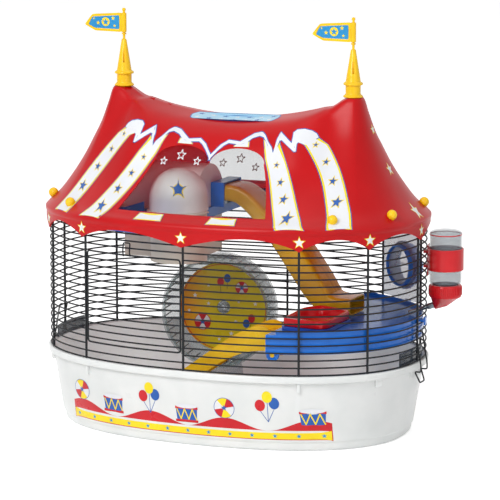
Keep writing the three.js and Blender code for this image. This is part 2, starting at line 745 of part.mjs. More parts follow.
function buildDeck() {
  const sheetLow = DECK_TOP - DECK_SHEET;
  const skirtLow = DECK_TOP - DECK_SKIRT;
  const [pivotX, pivotZ] = RAMP_PIVOT;
  const outer = deckOutline(DECK_INSET);
  const block = slab(outer, skirtLow, DECK_TOP);
  const inner = slab(deckOutline(DECK_INSET + DECK_WALL), skirtLow - 1, sheetLow);
  const rimOuter = slab(outer, sheetLow, DECK_TOP + 4);
  const rimInner = slab(deckOutline(DECK_INSET + 2.2), sheetLow - 1, DECK_TOP + 6);
  const openLeft = box(DECK_X - 5, DECK_X + 12, -RIM_HALF_DEPTH, RIM_HALF_DEPTH, DECK_TOP,
    DECK_TOP + 10);
  const rim = rimOuter.subtract(rimInner).subtract(openLeft);
  const half = LUG_THICK / 2;
  const lugs = LUG_SPOTS.map((y) => join([
    box(DECK_X, pivotX + LUG_RADIUS, y - half, y + half, pivotZ, sheetLow + 1),
    rod(LUG_RADIUS, LUG_RADIUS, -half, half, PEG_SIDES).rotate([90, 0, 0])
      .translate([pivotX, y, pivotZ]),
  ]));
  const bore = PEG + RUN_GAP;
  const pegHoles = rod(bore, bore, -LUG_SPOTS[1] - 10, -LUG_SPOTS[0] + 10, PEG_SIDES)
    .rotate([90, 0, 0]).translate([pivotX, 0, pivotZ]);
  const mouth = box(DECK_X - 2, DECK_X + 4, RAMP_FRONT - 4, RAMP_BACK + 4, skirtLow - 2,
    sheetLow);
  const tabs = [5, 44, 62].map(deckTab);
  const deck = join([block.subtract(join([inner, mouth])), rim, ...lugs, ...tabs]);
  addPart('deck', deck.subtract(pegHoles), 'blue');
}

function buildBowl() {
  const holder = slab(shrunk(BOWL_OUTLINE, -BOWL.ledge), DECK_TOP + FIT_GAP, BOWL.lip - FIT_GAP)
    .subtract(slab(shrunk(BOWL_OUTLINE, 4), DECK_TOP - 1, BOWL.lip + 1));
  addPart('bowl_holder', holder, 'blue');
  const bowl = join([
    slab(BOWL_OUTLINE, BOWL.lip, BOWL.rim),
    slab(shrunk(BOWL_OUTLINE, 4.6), BOWL.foot, BOWL.lip + 0.5),
  ]).subtract(slab(shrunk(BOWL_OUTLINE, 6.8), BOWL.foot + BOWL.wall, BOWL.rim + 1));
  addPart('bowl', bowl, 'red');
}

// ---------------------------------------------------------------- ramp
// The ramp's floor line as [x, z] pairs, from the deck's edge down to the basin floor.
const RAMP_LINE = [
  [DECK_X - 2, DECK_TOP - 7.6], [DECK_X - 19, DECK_TOP - 8.3], [DECK_X - 39, DECK_TOP - 17.3],
  [DECK_X - 67, DECK_TOP - 35.3], [DECK_X - 215, BASIN_FLOOR + FIT_GAP],
];
const RAMP_SIDES = [2.6, 13.5, 16, 18, 18];  // height of the side walls at those points
const RAMP_SKIRTS = [18, 19, 12.5, 6, 0];    // how far the side walls hang below the floor there
const RAMP_SHEET = 2.5;
const TREAD_COUNT = 9;

// A strip along the ramp line, with its own height above and below it at each point.
function rampStrip(heights, drops) {
  const lower = RAMP_LINE.map(([x, z], i) => [x, z - drops[i]]);
  const upper = RAMP_LINE.map(([x, z], i) => [x, z + heights[i]]).reverse();
  return [...lower, ...upper];
}

function buildRamp() {
  const [pivotX, pivotZ] = RAMP_PIVOT;
  const even = (value) => RAMP_LINE.map(() => value);
  const floor = sideSlab(rampStrip(even(RAMP_SHEET), even(0)), RAMP_FRONT, RAMP_BACK);
  const side = rampStrip(RAMP_SIDES, RAMP_SKIRTS);
  const near = sideSlab(side, RAMP_FRONT, RAMP_FRONT + RAMP_WALL);
  const far = sideSlab(side, RAMP_BACK - RAMP_WALL, RAMP_BACK);
  const earOutline = [[-22, 16], [-10, 20.3], [-3, 16], [6, 2], [4, -5], [-4, -6], [-12, 2]]
    .map(([x, z]) => [pivotX + x, pivotZ + z]);
  const ears = [RAMP_FRONT, RAMP_BACK - RAMP_WALL]
    .map((y) => sideSlab(earOutline, y, y + RAMP_WALL));
  const spans = [[LUG_SPOTS[0] - 2.5, RAMP_FRONT + 1], [RAMP_BACK - 1, LUG_SPOTS[1] + 3.5]];
  const pegs = spans.map(([y0, y1]) => (
    rod(PEG, PEG, -y1, -y0, PEG_SIDES).rotate([90, 0, 0]).translate([pivotX, 0, pivotZ])));
  const treads = [];
  const [[x0, z0], [x1, z1]] = RAMP_LINE.slice(-2);
  for (let i = 0; i < TREAD_COUNT; i += 1) {
    const t = (i + 0.5) / TREAD_COUNT;
    const x = THREE.MathUtils.lerp(x0, x1, t);
    const z = THREE.MathUtils.lerp(z0, z1, t);
    treads.push(box(x - 1, x + 1, RAMP_FRONT + 1, RAMP_BACK - 1, z + 1, z + RAMP_SHEET + 1.5));
  }
  addPart('ramp', join([floor, near, far, ...ears, ...pegs, ...treads]), 'yellow');
}

// ---------------------------------------------------------------- deck, den and chute under the roof
const DEN = {
  left: -134, right: -33, front: -52, back: 32, wall: 2, top: LOFT_TOP + 55,
  apseX: -54, apseHalf: 37, apseY: -58, tubLow: LOFT_TOP - 61, doorTop: LOFT_TOP + 30,
};
const CHUTE = {
  halfWidth: 25, topHalf: 10.4, bendHalf: 16, mouthHalf: 10.5, wall: 2, y: 20, corner: 6,
};
const COLLAR_WALL = 2.5;                       // wall of the collar round the chute's top
const DEN_FLANGE = LOFT_TOP + FIT_GAP;
const FLANGE_SHEET = 2;

// The den's plan: a rectangle with a round bay towards the front, grown or shrunk by a margin.
function denPlan(margin, rightMargin = margin) {
  const d = DEN;
  const half = d.apseHalf + margin;
  const right = Math.min(d.right + rightMargin, d.apseX + half);
  const outline = [[d.left - margin, d.back + margin], [d.left - margin, d.front - margin]];
  outline.push([d.apseX - half, d.front - margin]);
  for (let i = 0; i <= 10; i += 1) {
    const angle = Math.PI + Math.PI * i / 10;
    outline.push([d.apseX + half * Math.cos(angle), d.apseY + half * Math.sin(angle)]);
  }
  outline.push([d.apseX + half, d.front - margin]);
  outline.push([right, d.front - margin], [right, d.back + margin]);
  return outline;
}

function loftOutline(inset) {
  const outline = [];
  const halfLength = WIRE_HALF_LENGTH - inset;
  const halfDepth = WIRE_HALF_DEPTH - inset;
  const left = LOFT_LEFT + inset;
  const right = LOFT_RIGHT - inset;
  for (const side of [-1, 1]) {
    for (let i = 0; i <= 5; i += 1) {
      const t = side < 0 ? i / 5 : 1 - i / 5;
      const x = THREE.MathUtils.lerp(left, right, t);
      const y = halfDepth * (1 - (Math.abs(x) / halfLength) ** OVAL_POWER) ** (1 / OVAL_POWER);
      outline.push([x, side * y]);
    }
  }
  return outline;
}

function buildLoft() {
  const block = slab(loftOutline(0), LOFT_LOW, LOFT_TOP);
  const under = slab(loftOutline(LOFT_SHEET), LOFT_LOW - 1, LOFT_TOP - LOFT_SHEET);
  const hole = slab(denPlan(-1), LOFT_LOW - 2, LOFT_TOP + 1);
  const slot = box(LOFT_RIGHT - 0.8, LOFT_RIGHT + 10, -RIM_HALF_DEPTH, RIM_HALF_DEPTH,
    LOFT_LOW - 1, LOFT_TOP + 1);
  const wing = sideSlab([[LOFT_LEFT + 3, LOFT_TOP - 1], [DEN.apseX - DEN.apseHalf - 5, LOFT_TOP - 1],
    [DEN.apseX - DEN.apseHalf - 5, LOFT_TOP + 12]], LOFT_WING_Y, LOFT_WING_Y + LOFT_SHEET);
  addPart('loft_deck', block.subtract(join([under, hole, slot])).add(wing), 'blue');
}

// The den's outer or inner vault, drawn in by a margin: a long arch and a round bay with a ball
// on top.
function denVault(margin) {
  const d = DEN;
  const low = LOFT_TOP - 20;
  const half = (d.back - d.front) / 2 - margin;
  const spring = d.top - margin - half - low;
  const arch = [[-half, 0], [half, 0]];
  for (let i = 0; i <= 10; i += 1) {
    const angle = Math.PI * i / 10;
    arch.push([half * Math.cos(angle), spring + half * Math.sin(angle)]);
  }
  const long = sideSlab(arch, d.left + margin, d.right - margin)
    .rotate([0, 0, -90]).translate([0, (d.back + d.front) / 2, low]);
  const bayHalf = d.apseHalf - margin;
  const springZ = d.top - margin - bayHalf;
  const ball = new THREE.SphereGeometry(bayHalf, 16, 10);
  ball.rotateX(Math.PI / 2);
  ball.translate(d.apseX, d.apseY, springZ);
  const foot = rod(bayHalf, bayHalf, low, springZ, 16).translate([d.apseX, d.apseY, 0]);
  return join([long, solid(ball), foot]);
}

function buildDen() {
  const d = DEN;
  const tub = join([
    slab(denPlan(3, 0), DEN_FLANGE, DEN_FLANGE + FLANGE_SHEET),
    slab(denPlan(-1 - FIT_GAP), d.tubLow, DEN_FLANGE + 1),
  ]).subtract(slab(denPlan(-1 - FIT_GAP - d.wall), d.tubLow + d.wall, DEN_FLANGE + 3));
  addPart('den_tub', tub, 'frosted');
  const foot = DEN_FLANGE + FLANGE_SHEET + FIT_GAP;
  const above = box(-RIM_HALF_LENGTH, RIM_HALF_LENGTH, -RIM_HALF_DEPTH, RIM_HALF_DEPTH, foot,
    PEAK_Z);
  const entrance = box(d.right - 8, d.right + 20, CHUTE.y - CHUTE.halfWidth + 1,
    CHUTE.y + CHUTE.halfWidth - 1, foot - 1, d.doorTop);
  const dome = denVault(0).subtract(denVault(d.wall)).intersect(above).subtract(entrance);
  addPart('den_dome', dome, 'frosted');
}

// The chute's centre line from the den down to the raised deck, as shares of its run and drop.
const CHUTE_LINE = [
  [0, 0], [0.108, 0.009], [0.19, 0.064], [0.273, 0.16], [0.386, 0.313], [0.528, 0.514],
  [0.658, 0.747], [0.761, 0.93], [0.835, 0.989], [1, 1],
];
const CHUTE_START = [DEN.right + 12, LOFT_TOP + 18];
const CHUTE_END = [DECK_X + 52, DECK_TOP + CHUTE.mouthHalf + 0.7];

// Half the chute's height at a share of its run: low at the den, high in the steep bend, and low
// again at the mouth.
function chuteHalf(run) {
  const opened = THREE.MathUtils.lerp(CHUTE.topHalf, CHUTE.bendHalf, smooth(0.3, 0.6, run));
  return THREE.MathUtils.lerp(opened, CHUTE.mouthHalf, smooth(0.68, 0.9, run));
}

// A rounded box section swept along the chute line; margin draws its outline in.
function chuteSweep(margin, overrun) {
  const points = CHUTE_LINE.map(([run, drop]) => new THREE.Vector3(
    THREE.MathUtils.lerp(CHUTE_START[0], CHUTE_END[0], run), 0,
    THREE.MathUtils.lerp(CHUTE_START[1], CHUTE_END[1], drop)));
  points[0].x -= overrun;
  points[points.length - 1].x += overrun;
  const w = CHUTE.halfWidth - margin;
  const c = CHUTE.corner;
  const outline = (h) => [
    [-w, -h], [w, -h], [w, h - c], [w - c * 0.3, h - c * 0.3], [w - c, h], [-w + c, h],
    [-w + c * 0.3, h - c * 0.3], [-w, h - c],
  ];
  const sections = points.map((point, i) => {
    const before = points[Math.max(0, i - 1)];
    const after = points[Math.min(points.length - 1, i + 1)];
    const slope = Math.atan2(after.z - before.z, after.x - before.x);
    return outline(chuteHalf(CHUTE_LINE[i][0]) - margin).map(([a, b]) => [
      point.x - b * Math.sin(slope), CHUTE.y + a, point.z + b * Math.cos(slope)]);
  });
  return swept(sections);
}

function buildChute() {
  const tube = chuteSweep(0, 0).subtract(chuteSweep(CHUTE.wall, 5));
  addPart('chute', tube, 'amber');
  const w = CHUTE.halfWidth + FIT_GAP;
  const lap = 6;
  const left = DEN.right + FIT_GAP;
  const right = CHUTE_START[0] + lap;
  const low = DEN_FLANGE + 0.2;
  const top = CHUTE_START[1] + CHUTE.topHalf + 3;
  const outer = box(left, right, CHUTE.y - w - COLLAR_WALL, CHUTE.y + w + COLLAR_WALL, low, top);
  const bore = box(left - 7, right + 14, CHUTE.y - w + 2.2, CHUTE.y + w - 2.2, low + 3.7,
    DEN.doorTop - 0.5);
  addPart('chute_collar', outer.subtract(bore).subtract(chuteSweep(-FIT_GAP, FIT_GAP)), 'blue');
}

// ---------------------------------------------------------------- exercise wheel
const WHEEL = {
  radius: 72, wall: 2, width: 44, x: -38, y: 32, turn: 9, pin: 3.02, neck: 4.3, disc: 58,
  discSheet: 1.1, rungs: 15, hubFlange: 8.2,
};
const WHEEL_Z = DEN.tubLow - WHEEL.radius - 6.5;     // the drum clears the den's tub above it
const WHEEL_BACK = -WHEEL.width / 2;                 // back face of the drum, from its middle
const STAND_FACE = WHEEL_BACK - 2.6;                 // front face of the stand's upright

function wheelDrum() {
  const w = WHEEL;
  const open = w.width / 2;
  const inner = w.radius - w.wall;
  const eye = w.neck + FIT_GAP;
  const floor = WHEEL_BACK + w.wall;
  const drum = turned([
    [eye, WHEEL_BACK], [w.radius - 2, WHEEL_BACK], [w.radius, floor], [w.radius, open - 1],
    [w.radius - 1, open], [w.radius - 6, open], [w.radius - 6, open - 1.6], [inner, open - 3],
    [inner, floor], [eye, floor], [eye, WHEEL_BACK],
  ], 2 * w.rungs);
  const rungs = Array.from({ length: w.rungs }, (_, i) => (
    box(inner - 2, inner + 0.5, -0.9, 0.9, floor - 1, open - 2)
      .rotate([0, 0, (i + 0.25) * 360 / w.rungs])));
  return join([drum, ...rungs]);
}

function wheelDisc() {
  const w = WHEEL;
  const low = WHEEL_BACK + w.wall + FIT_GAP;
  const high = low + w.discSheet;
  const eye = w.hubFlange + 0.4;
  return turned([[eye, low], [w.disc, low], [w.disc, high], [eye, high], [eye, low]], 2 * w.rungs);
}

// The hub clamps the drum's back wall between its two flanges and turns on the stand's pin.
function wheelHub() {
  const w = WHEEL;
  const bore = w.pin + RUN_GAP;
  const behind = WHEEL_BACK - FIT_GAP;
  const inFront = WHEEL_BACK + w.wall + FIT_GAP;
  return turned([
    [bore, WHEEL_BACK - 2], [6, WHEEL_BACK - 2], [6, behind], [w.neck, behind],
    [w.neck, inFront], [w.hubFlange, inFront], [w.hubFlange, inFront + 2.7],
    [6.5, inFront + 4.7], [bore, inFront + 4.7], [bore, WHEEL_BACK - 2],
  ], 16);
}

// The stand: a pin, an upright behind the drum, and a ribbed foot on the basin floor.
function wheelStand() {
  const w = WHEEL;
  const hubFront = WHEEL_BACK + w.wall + FIT_GAP + 4.7;
  const pin = turned([
    [0, STAND_FACE - 3], [w.pin, STAND_FACE - 3], [w.pin, hubFront + 0.4],
    [5, hubFront + 0.6], [5, hubFront + 2.5], [0, hubFront + 3.5],
  ], 16);
  const drop = WHEEL_Z - BASIN_FLOOR - FIT_GAP;
  const open = w.width / 2;
  const upright = slab([[-30, -drop], [30, -drop], [9, 4], [5, 9], [-5, 9], [-9, 4]],
    STAND_FACE - 5, STAND_FACE);
  const foot = box(-46, 46, -drop, -drop + 3, STAND_FACE - 12, open + 14);
  const sweep = rod(w.radius + 3, w.radius + 3, STAND_FACE + 0.01, open + 2, 36);
  const ribs = [-24, 24].map((x) => (
    box(x - 1.5, x + 1.5, -drop + 1, -drop + 40, STAND_FACE - 1, open - 10).subtract(sweep)));
  return join([pin, upright, foot, ...ribs]);
}

// Inside the turned groups +Z runs out of the drum's open front.
function buildWheel() {
  const facing = new THREE.Group();
  facing.position.set(WHEEL.x, WHEEL.y, WHEEL_Z);
  facing.rotation.z = radians(WHEEL.turn);
  const tilted = new THREE.Group();
  tilted.rotation.x = Math.PI / 2;
  facing.add(tilted);
  model.add(facing);
  addPart('wheel_drum', wheelDrum(), 'clear', tilted);
  addPart('wheel_disc', wheelDisc(), 'print', tilted);
  addPart('wheel_hub', wheelHub(), 'clear', tilted);
  addPart('wheel_stand', wheelStand(), 'clear', tilted);
}

// ---------------------------------------------------------------- tube port
const PORT = { sleeve: 26.2, wall: 1.6, flange: 31, plate: 2.4, postGap: 1.3, grip: 1.2 };

function portFrame() {
  const [ax, ay] = postPoint(PORT_BAY);
  const [bx, by] = postPoint(PORT_BAY + 1);
  const normal = Math.atan2(ax - bx, by - ay);
  const chord = Math.hypot(ax - bx, ay - by);
  return { x: (ax + bx) / 2, y: (ay + by) / 2, normal, half: chord / 2 - POST_RADIUS };
}

function buildPort() {
  const p = PORT;
  const frame = portFrame();
  const group = new THREE.Group();
  group.position.set(frame.x, frame.y, PORT_Z);
  // Inside the group +Z points out of the cage and +Y is up.
  group.rotation.set(0, 0, frame.normal + Math.PI / 2);
  const tilt = new THREE.Group();
  tilt.rotation.x = Math.PI / 2;
  group.add(tilt);
  model.add(group);
  const half = frame.half - p.postGap;
  const face = p.plate / 2;
  const hole = p.sleeve + 0.4;
  const bore = p.sleeve - p.wall;
  const plug = bore - 0.4;
  const plate = box(-half, half, -PORT_HALF_HEIGHT, PORT_HALF_HEIGHT, -face, face)
    .subtract(rod(hole, hole, -face - 1, face + 1, 20));
  addPart('port_plate', plate, 'clear', tilt);
  const seat = face + FIT_GAP;
  const ring = turned([
    [bore, -7], [p.sleeve, -7], [p.sleeve, seat], [p.flange, seat], [p.flange, seat + 4.5],
    [p.sleeve + 1, seat + 7.5], [p.sleeve + 1, seat + 12.5], [bore, seat + 12.5], [bore, -7],
  ], 20);
  addPart('port_ring', ring, 'blue', tilt);
  const cup = turned([
    [0, -4], [plug, -4], [plug, 12], [plug - 1.8, 12], [plug - 1.8, -2], [0, -2],
  ], 20);
  const grip = box(-plug + 1, plug - 1, -p.grip, p.grip, -3, 9);
  addPart('port_cap', cup.add(grip), 'clear', tilt);
}

// ---------------------------------------------------------------- drinking bottle
const BOTTLE = {
  y: 50, clearance: 4.7, radius: 20.3, wall: 1.4, height: 84, capRadius: 21, capHeight: 16,
  neck: 16, neckWall: 1.5, slope: 19, turn: 14, rootDrop: 5.5,
};

// The wall's X at a given Y, on the right-hand side.
function wallX(y) {
  return WIRE_HALF_LENGTH * (1 - (y / WIRE_HALF_DEPTH) ** OVAL_POWER) ** (1 / OVAL_POWER);
}

// The bottle stands clear of the wires, and its drinking tube passes half way between two rings,
// which sets its height.
BOTTLE.standOff = BOTTLE.radius + BOTTLE.clearance;
BOTTLE.x = wallX(BOTTLE.y) + BOTTLE.standOff;
BOTTLE.tubeRise = BOTTLE.standOff * Math.tan(radians(BOTTLE.slope)) / Math.cos(radians(BOTTLE.turn));
BOTTLE.capLow = FIRST_RING + 6.5 * RING_PITCH + BOTTLE.tubeRise + BOTTLE.rootDrop;
BOTTLE.capHigh = BOTTLE.capLow + BOTTLE.capHeight;
BOTTLE.high = BOTTLE.capLow + BOTTLE.height;
const SEAL = { low: 5, thick: 2, inner: 11.3 };        // seal in the cap, above the cap's base

function buildBottle() {
  const b = BOTTLE;
  const inner = b.radius - b.wall;
  const throat = b.neck - b.neckWall;
  const mouth = b.capLow + SEAL.low + SEAL.thick + 2 * FIT_GAP;
  const shell = turned([
    [0, b.high - b.wall], [inner - 2.6, b.high - b.wall], [inner, b.high - 5],
    [inner, b.capHigh + 3], [throat, b.capHigh + 0.6], [throat, mouth], [b.neck, mouth],
    [b.neck, b.capHigh + 0.6], [b.radius, b.capHigh + 2.6], [b.radius, b.high - 4],
    [b.radius - 3, b.high], [0, b.high],
  ], 24);
  addPart('bottle', shell.translate([b.x, b.y, 0]), 'clear');
  const thread = b.neck + 0.4;
  const seat = b.capLow + SEAL.low;
  const well = SEAL.inner - 0.3;
  const cup = turned([
    [0, b.capLow], [b.capRadius - 2, b.capLow], [b.capRadius, b.capLow + 2],
    [b.capRadius, b.capHigh], [thread, b.capHigh], [thread, seat], [well, seat],
    [well, b.capLow + 2], [0, b.capLow + 2],
  ], 24).translate([b.x, b.y, 0]);
  addPart('bottle_cap', cup.add(spout()), 'red');
  const low = seat + FIT_GAP;
  const high = low + SEAL.thick;
  const seal = turned([
    [SEAL.inner, low], [b.neck - 0.1, low], [b.neck - 0.1, high], [SEAL.inner, high],
    [SEAL.inner, low],
  ], 24);
  addPart('cap_seal', seal.translate([b.x, b.y, 0]), 'smoke');
  buildDrinkTube();
  buildStrap();
}

// The drinking tube's frame: +Z runs down the tube into the cage.
function tubePlacement(body) {
  const b = BOTTLE;
  return body.rotate([0, 90 + b.slope, 0]).rotate([0, 0, 180 + b.turn])
    .translate([b.x, b.y, b.capLow - b.rootDrop]);
}

const TUBE = {
  start: 15.5, step: 24, tip: 48.5, outer: 3.8, thin: 2.5, bore: 1.7, ball: 1.8, mouth: 1.5,
};

function spout() {
  const along = tubePlacement(turned([
    [0, 0], [6.6, 0], [5.6, 15], [0, 15],
  ], 14));
  const cap = rod(BOTTLE.capRadius - 2.4, BOTTLE.capRadius - 2.4, BOTTLE.capLow, BOTTLE.capLow + 1, 24)
    .translate([BOTTLE.x, BOTTLE.y, 0]);
  const clear = rod(40, 40, BOTTLE.capLow + 1, BOTTLE.capLow + 40, 24)
    .translate([BOTTLE.x, BOTTLE.y, 0]);
  return wasm.Manifold.hull([along, cap]).subtract(clear);
}

function buildDrinkTube() {
  const t = TUBE;
  const tube = turned([
    [t.bore, t.start], [t.outer, t.start], [t.outer, t.step - 2], [t.thin, t.step],
    [t.thin, t.tip - 1], [t.thin - 0.5, t.tip], [t.mouth, t.tip], [t.mouth, t.tip - 0.8],
    [t.ball + 0.2, t.tip - 1.2], [t.ball + 0.2, t.tip - 8], [t.bore, t.tip - 8.3],
    [t.bore, t.start],
  ], 14);
  addPart('drinking_tube', tubePlacement(tube), 'steel');
  const seat = Math.sqrt(t.ball ** 2 - t.mouth ** 2) + 0.1;
  const ball = new THREE.SphereGeometry(t.ball, 10, 7);
  ball.translate(0, 0, t.tip - 0.8 - seat);
  addPart('tube_ball', tubePlacement(solid(ball)), 'steel');
}

// A strap round the bottle, and the hooked plate that hangs it on the wires.
function buildStrap() {
  const b = BOTTLE;
  const hooks = [12, 14].map((ring) => FIRST_RING + ring * RING_PITCH + RING_RADIUS + FIT_GAP);
  const z0 = hooks[0] - 2;
  const z1 = hooks[1] + 7;
  const inner = b.radius + FIT_GAP;
  const band = turned([
    [inner, z0], [inner + 2, z0], [inner + 2, z1], [inner, z1], [inner, z0],
  ], 24).translate([b.x, b.y, 0]);
  const face = RING_RADIUS + FIT_GAP + 0.1;
  const plate = join([
    box(face, face + 1.8, -9, 9, z0 - 8, z1 + 3),
    ...hooks.map((z) => box(-3.5, face + 0.6, -7, 7, z, z + 3.4)),
  ]).rotate([0, 0, b.turn]).translate([wallX(b.y), b.y, 0]);
  const clear = rod(inner, inner, z0 - 20, z1 + 20, 24).translate([b.x, b.y, 0]);
  addPart('bottle_strap', join([band, plate.subtract(clear)]), 'red');
}

// ---------------------------------------------------------------- bails and end brackets
const BAIL = { half: 11, radius: 1.1, axisZ: FIRST_RING + 4 * RING_PITCH };
BAIL.axisX = WIRE_HALF_LENGTH + RING_RADIUS + FIT_GAP + BAIL.radius;
BAIL.hook = BAIL.axisZ - (RIM_TOP - RIM_BAND) + FIT_GAP + BAIL.radius;   // reach below the axis

function buildBail(name, side) {
  const b = BAIL;
  const loop = (y) => [[0, y * 0.36, 0], [0, y, 0], [6.8, y, 8 - b.hook], [6.8, y, -b.hook],
    [-1.2, y, -b.hook]];
  const path = [
    ...loop(b.half),
    [4.5, b.half * 0.7, -14 - b.hook],
    [4.5, -b.half * 0.7, -14 - b.hook],
    ...loop(-b.half).reverse(),
  ];
  const placed = bentWire(path, b.radius, 5).translate([b.axisX, 0, b.axisZ]);
  addPart(name, side > 0 ? placed : placed.rotate([0, 0, 180]), 'wire');
}

function buildBrackets() {
  const inset = WIRE_INSET + POST_RADIUS + 2.2;
  const low = RIM_TOP + FIT_GAP;
  const high = RIM_TOP + 16;
  addPart('bracket_right', ovalBand(-11, 11, inset, 2.4, low, high, 4), 'smoke');
  addPart('bracket_left', ovalBand(169, 191, inset, 2.4, low, high, 4), 'smoke');
}

buildBasin();
buildWireBays();
buildDoor();
buildRoof();
buildPanes();
buildStuds();
buildSpire('spire_left', -PEAK_X);
buildSpire('spire_right', PEAK_X);
buildFlag('left', -PEAK_X);
buildFlag('right', PEAK_X);
buildDeck();
buildBowl();
buildRamp();
buildLoft();
buildDen();
buildChute();
buildWheel();
buildPort();
buildBottle();
buildBail('bail_right', 1);
buildBail('bail_left', -1);
buildBrackets();

export default model;
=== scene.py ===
"""The looks of a small-animal cage shaped like a circus tent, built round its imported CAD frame.

Each sub-assembly is a class: its sizes are fields in millimetres, and its methods build the meshes, give them
a finish and hand them to the CAD body that carries them. Lengths turn to metres when a mesh is made.
"""

import json
import logging
import math
from collections.abc import Iterable, Iterator, Sequence
from contextlib import contextmanager
from dataclasses import dataclass, field
from enum import Enum

import bmesh
import bpy
import numpy as np
from mathutils import Matrix, Vector
from mathutils.bvhtree import BVHTree
from mathutils.geometry import delaunay_2d_cdt

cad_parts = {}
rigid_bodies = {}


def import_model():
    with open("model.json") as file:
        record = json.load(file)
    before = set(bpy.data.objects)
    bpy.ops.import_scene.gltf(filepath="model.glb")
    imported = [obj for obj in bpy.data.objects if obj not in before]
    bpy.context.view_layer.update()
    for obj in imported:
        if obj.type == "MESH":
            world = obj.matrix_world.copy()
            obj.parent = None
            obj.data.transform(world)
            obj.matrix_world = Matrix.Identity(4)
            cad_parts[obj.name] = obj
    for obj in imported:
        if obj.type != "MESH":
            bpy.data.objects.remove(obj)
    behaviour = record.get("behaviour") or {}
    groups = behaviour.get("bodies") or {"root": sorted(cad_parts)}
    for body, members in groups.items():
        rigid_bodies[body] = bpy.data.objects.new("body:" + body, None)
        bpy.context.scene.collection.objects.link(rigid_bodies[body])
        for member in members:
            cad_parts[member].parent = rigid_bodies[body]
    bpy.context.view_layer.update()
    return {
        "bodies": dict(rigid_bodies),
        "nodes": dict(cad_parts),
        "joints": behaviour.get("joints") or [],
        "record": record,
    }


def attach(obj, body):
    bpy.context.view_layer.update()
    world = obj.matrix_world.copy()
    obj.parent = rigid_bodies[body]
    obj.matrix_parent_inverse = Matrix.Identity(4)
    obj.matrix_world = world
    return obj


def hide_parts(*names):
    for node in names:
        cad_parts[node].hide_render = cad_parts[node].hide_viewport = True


MM = 0.001
WELD = 2e-6  # metres
log = logging.getLogger("cage")

Pair = tuple[float, float]
Triple = tuple[float, float, float]
Outline = Sequence[Pair]
Object = bpy.types.Object
Tree = bpy.types.NodeTree
Socket = bpy.types.NodeSocket


# ---- shapes
@dataclass
class Shape:
    """Corner points in millimetres and the faces between them."""

    points: np.ndarray
    faces: list[tuple[int, ...]]

    def moved(self, x: float = 0, y: float = 0, z: float = 0) -> "Shape":
        """The shape carried along by a distance on each axis."""
        return Shape(self.points + np.array((x, y, z), float), self.faces)

    def placed(self, matrix: Matrix) -> "Shape":
        """The shape under a 4 by 4 placement in millimetres."""
        m = np.array(matrix, float)
        return Shape(self.points @ m[:3, :3].T + m[:3, 3], self.faces)

    def turned(self, degrees: float, axis: str = "Z") -> "Shape":
        """The shape turned about one axis through the origin."""
        return self.placed(Matrix.Rotation(math.radians(degrees), 4, axis))


def gathered(shapes: Iterable[Shape]) -> Shape:
    """Several shapes as one, without joining their surfaces."""
    points, faces, start = [], [], 0
    for shape in shapes:
        points.append(shape.points)
        faces += [tuple(i + start for i in face) for face in shape.faces]
        start += len(shape.points)
    return Shape(np.concatenate(points), faces)


def skin(sections: Sequence[Sequence[Triple]], capped: bool = True, looped: bool = False) -> Shape:
    """A surface through a row of sections.

    Args:
        sections: closed rings of equally many points.
        capped: closes the first and the last ring with a flat face.
        looped: joins the last ring to the first.

    Returns:
        The shape, one quad for each side of each step.
    """
    grid = np.array(sections, float)
    rows, columns = grid.shape[:2]
    faces: list[tuple[int, ...]] = []
    for i in range(rows if looped else rows - 1):
        low, high = i * columns, (i + 1) % rows * columns
        for j in range(columns):
            k = (j + 1) % columns
            faces.append((low + j, low + k, high + k, high + j))
    if capped and not looped:
        faces.append(tuple(reversed(range(columns))))
        faces.append(tuple(range((rows - 1) * columns, rows * columns)))
    return Shape(grid.reshape(-1, 3), faces)


def rounded(corners: Sequence[Sequence[float]], reach: float, closed: bool = True,
            steps: int = 4) -> list[tuple]:
    """An outline or path with each corner eased by a curve that starts reach away from it."""
    made, count = [], len(corners)
    for i, corner in enumerate(corners):
        c = np.array(corner, float)
        if not closed and i in (0, count - 1):
            made.append(tuple(c))
            continue
        a, b = np.array(corners[i - 1], float) - c, np.array(corners[(i + 1) % count], float) - c
        la, lb = np.linalg.norm(a), np.linalg.norm(b)
        r = min(reach, 0.46 * la, 0.46 * lb)
        p, q = c + a / la * r, c + b / lb * r
        for t in np.linspace(0, 1, steps + 1):
            made.append(tuple((1 - t) ** 2 * p + 2 * t * (1 - t) * c + t**2 * q))
    return made


def prism(outline: Outline, low: float, high: float) -> Shape:
    """A flat outline in X and Y raised from one height to another."""
    return skin([[(x, y, z) for x, y in outline] for z in (low, high)])


def hull(*shapes: Shape) -> Shape:
    """The convex solid that just holds some shapes."""
    bm = bmesh.new()
    for point in gathered(shapes).points:
        bm.verts.new(point)
    made = bmesh.ops.convex_hull(bm, input=bm.verts)
    bmesh.ops.delete(bm, geom=[v for v in made["geom_interior"] if isinstance(v, bmesh.types.BMVert)],
                     context="VERTS")
    bm.verts.index_update()
    points = np.array([tuple(v.co) for v in bm.verts])
    faces = [tuple(v.index for v in face.verts) for face in bm.faces]
    bm.free()
    return Shape(points, faces)


def side_prism(outline: Outline, near: float, far: float) -> Shape:
    """A flat outline in X and Z carried along Y."""
    return skin([[(x, y, z) for x, z in outline] for y in (near, far)])


def block(x: Pair, y: Pair, z: Pair) -> Shape:
    """A box between two values on each axis."""
    return prism([(x[0], y[0]), (x[1], y[0]), (x[1], y[1]), (x[0], y[1])], *z)


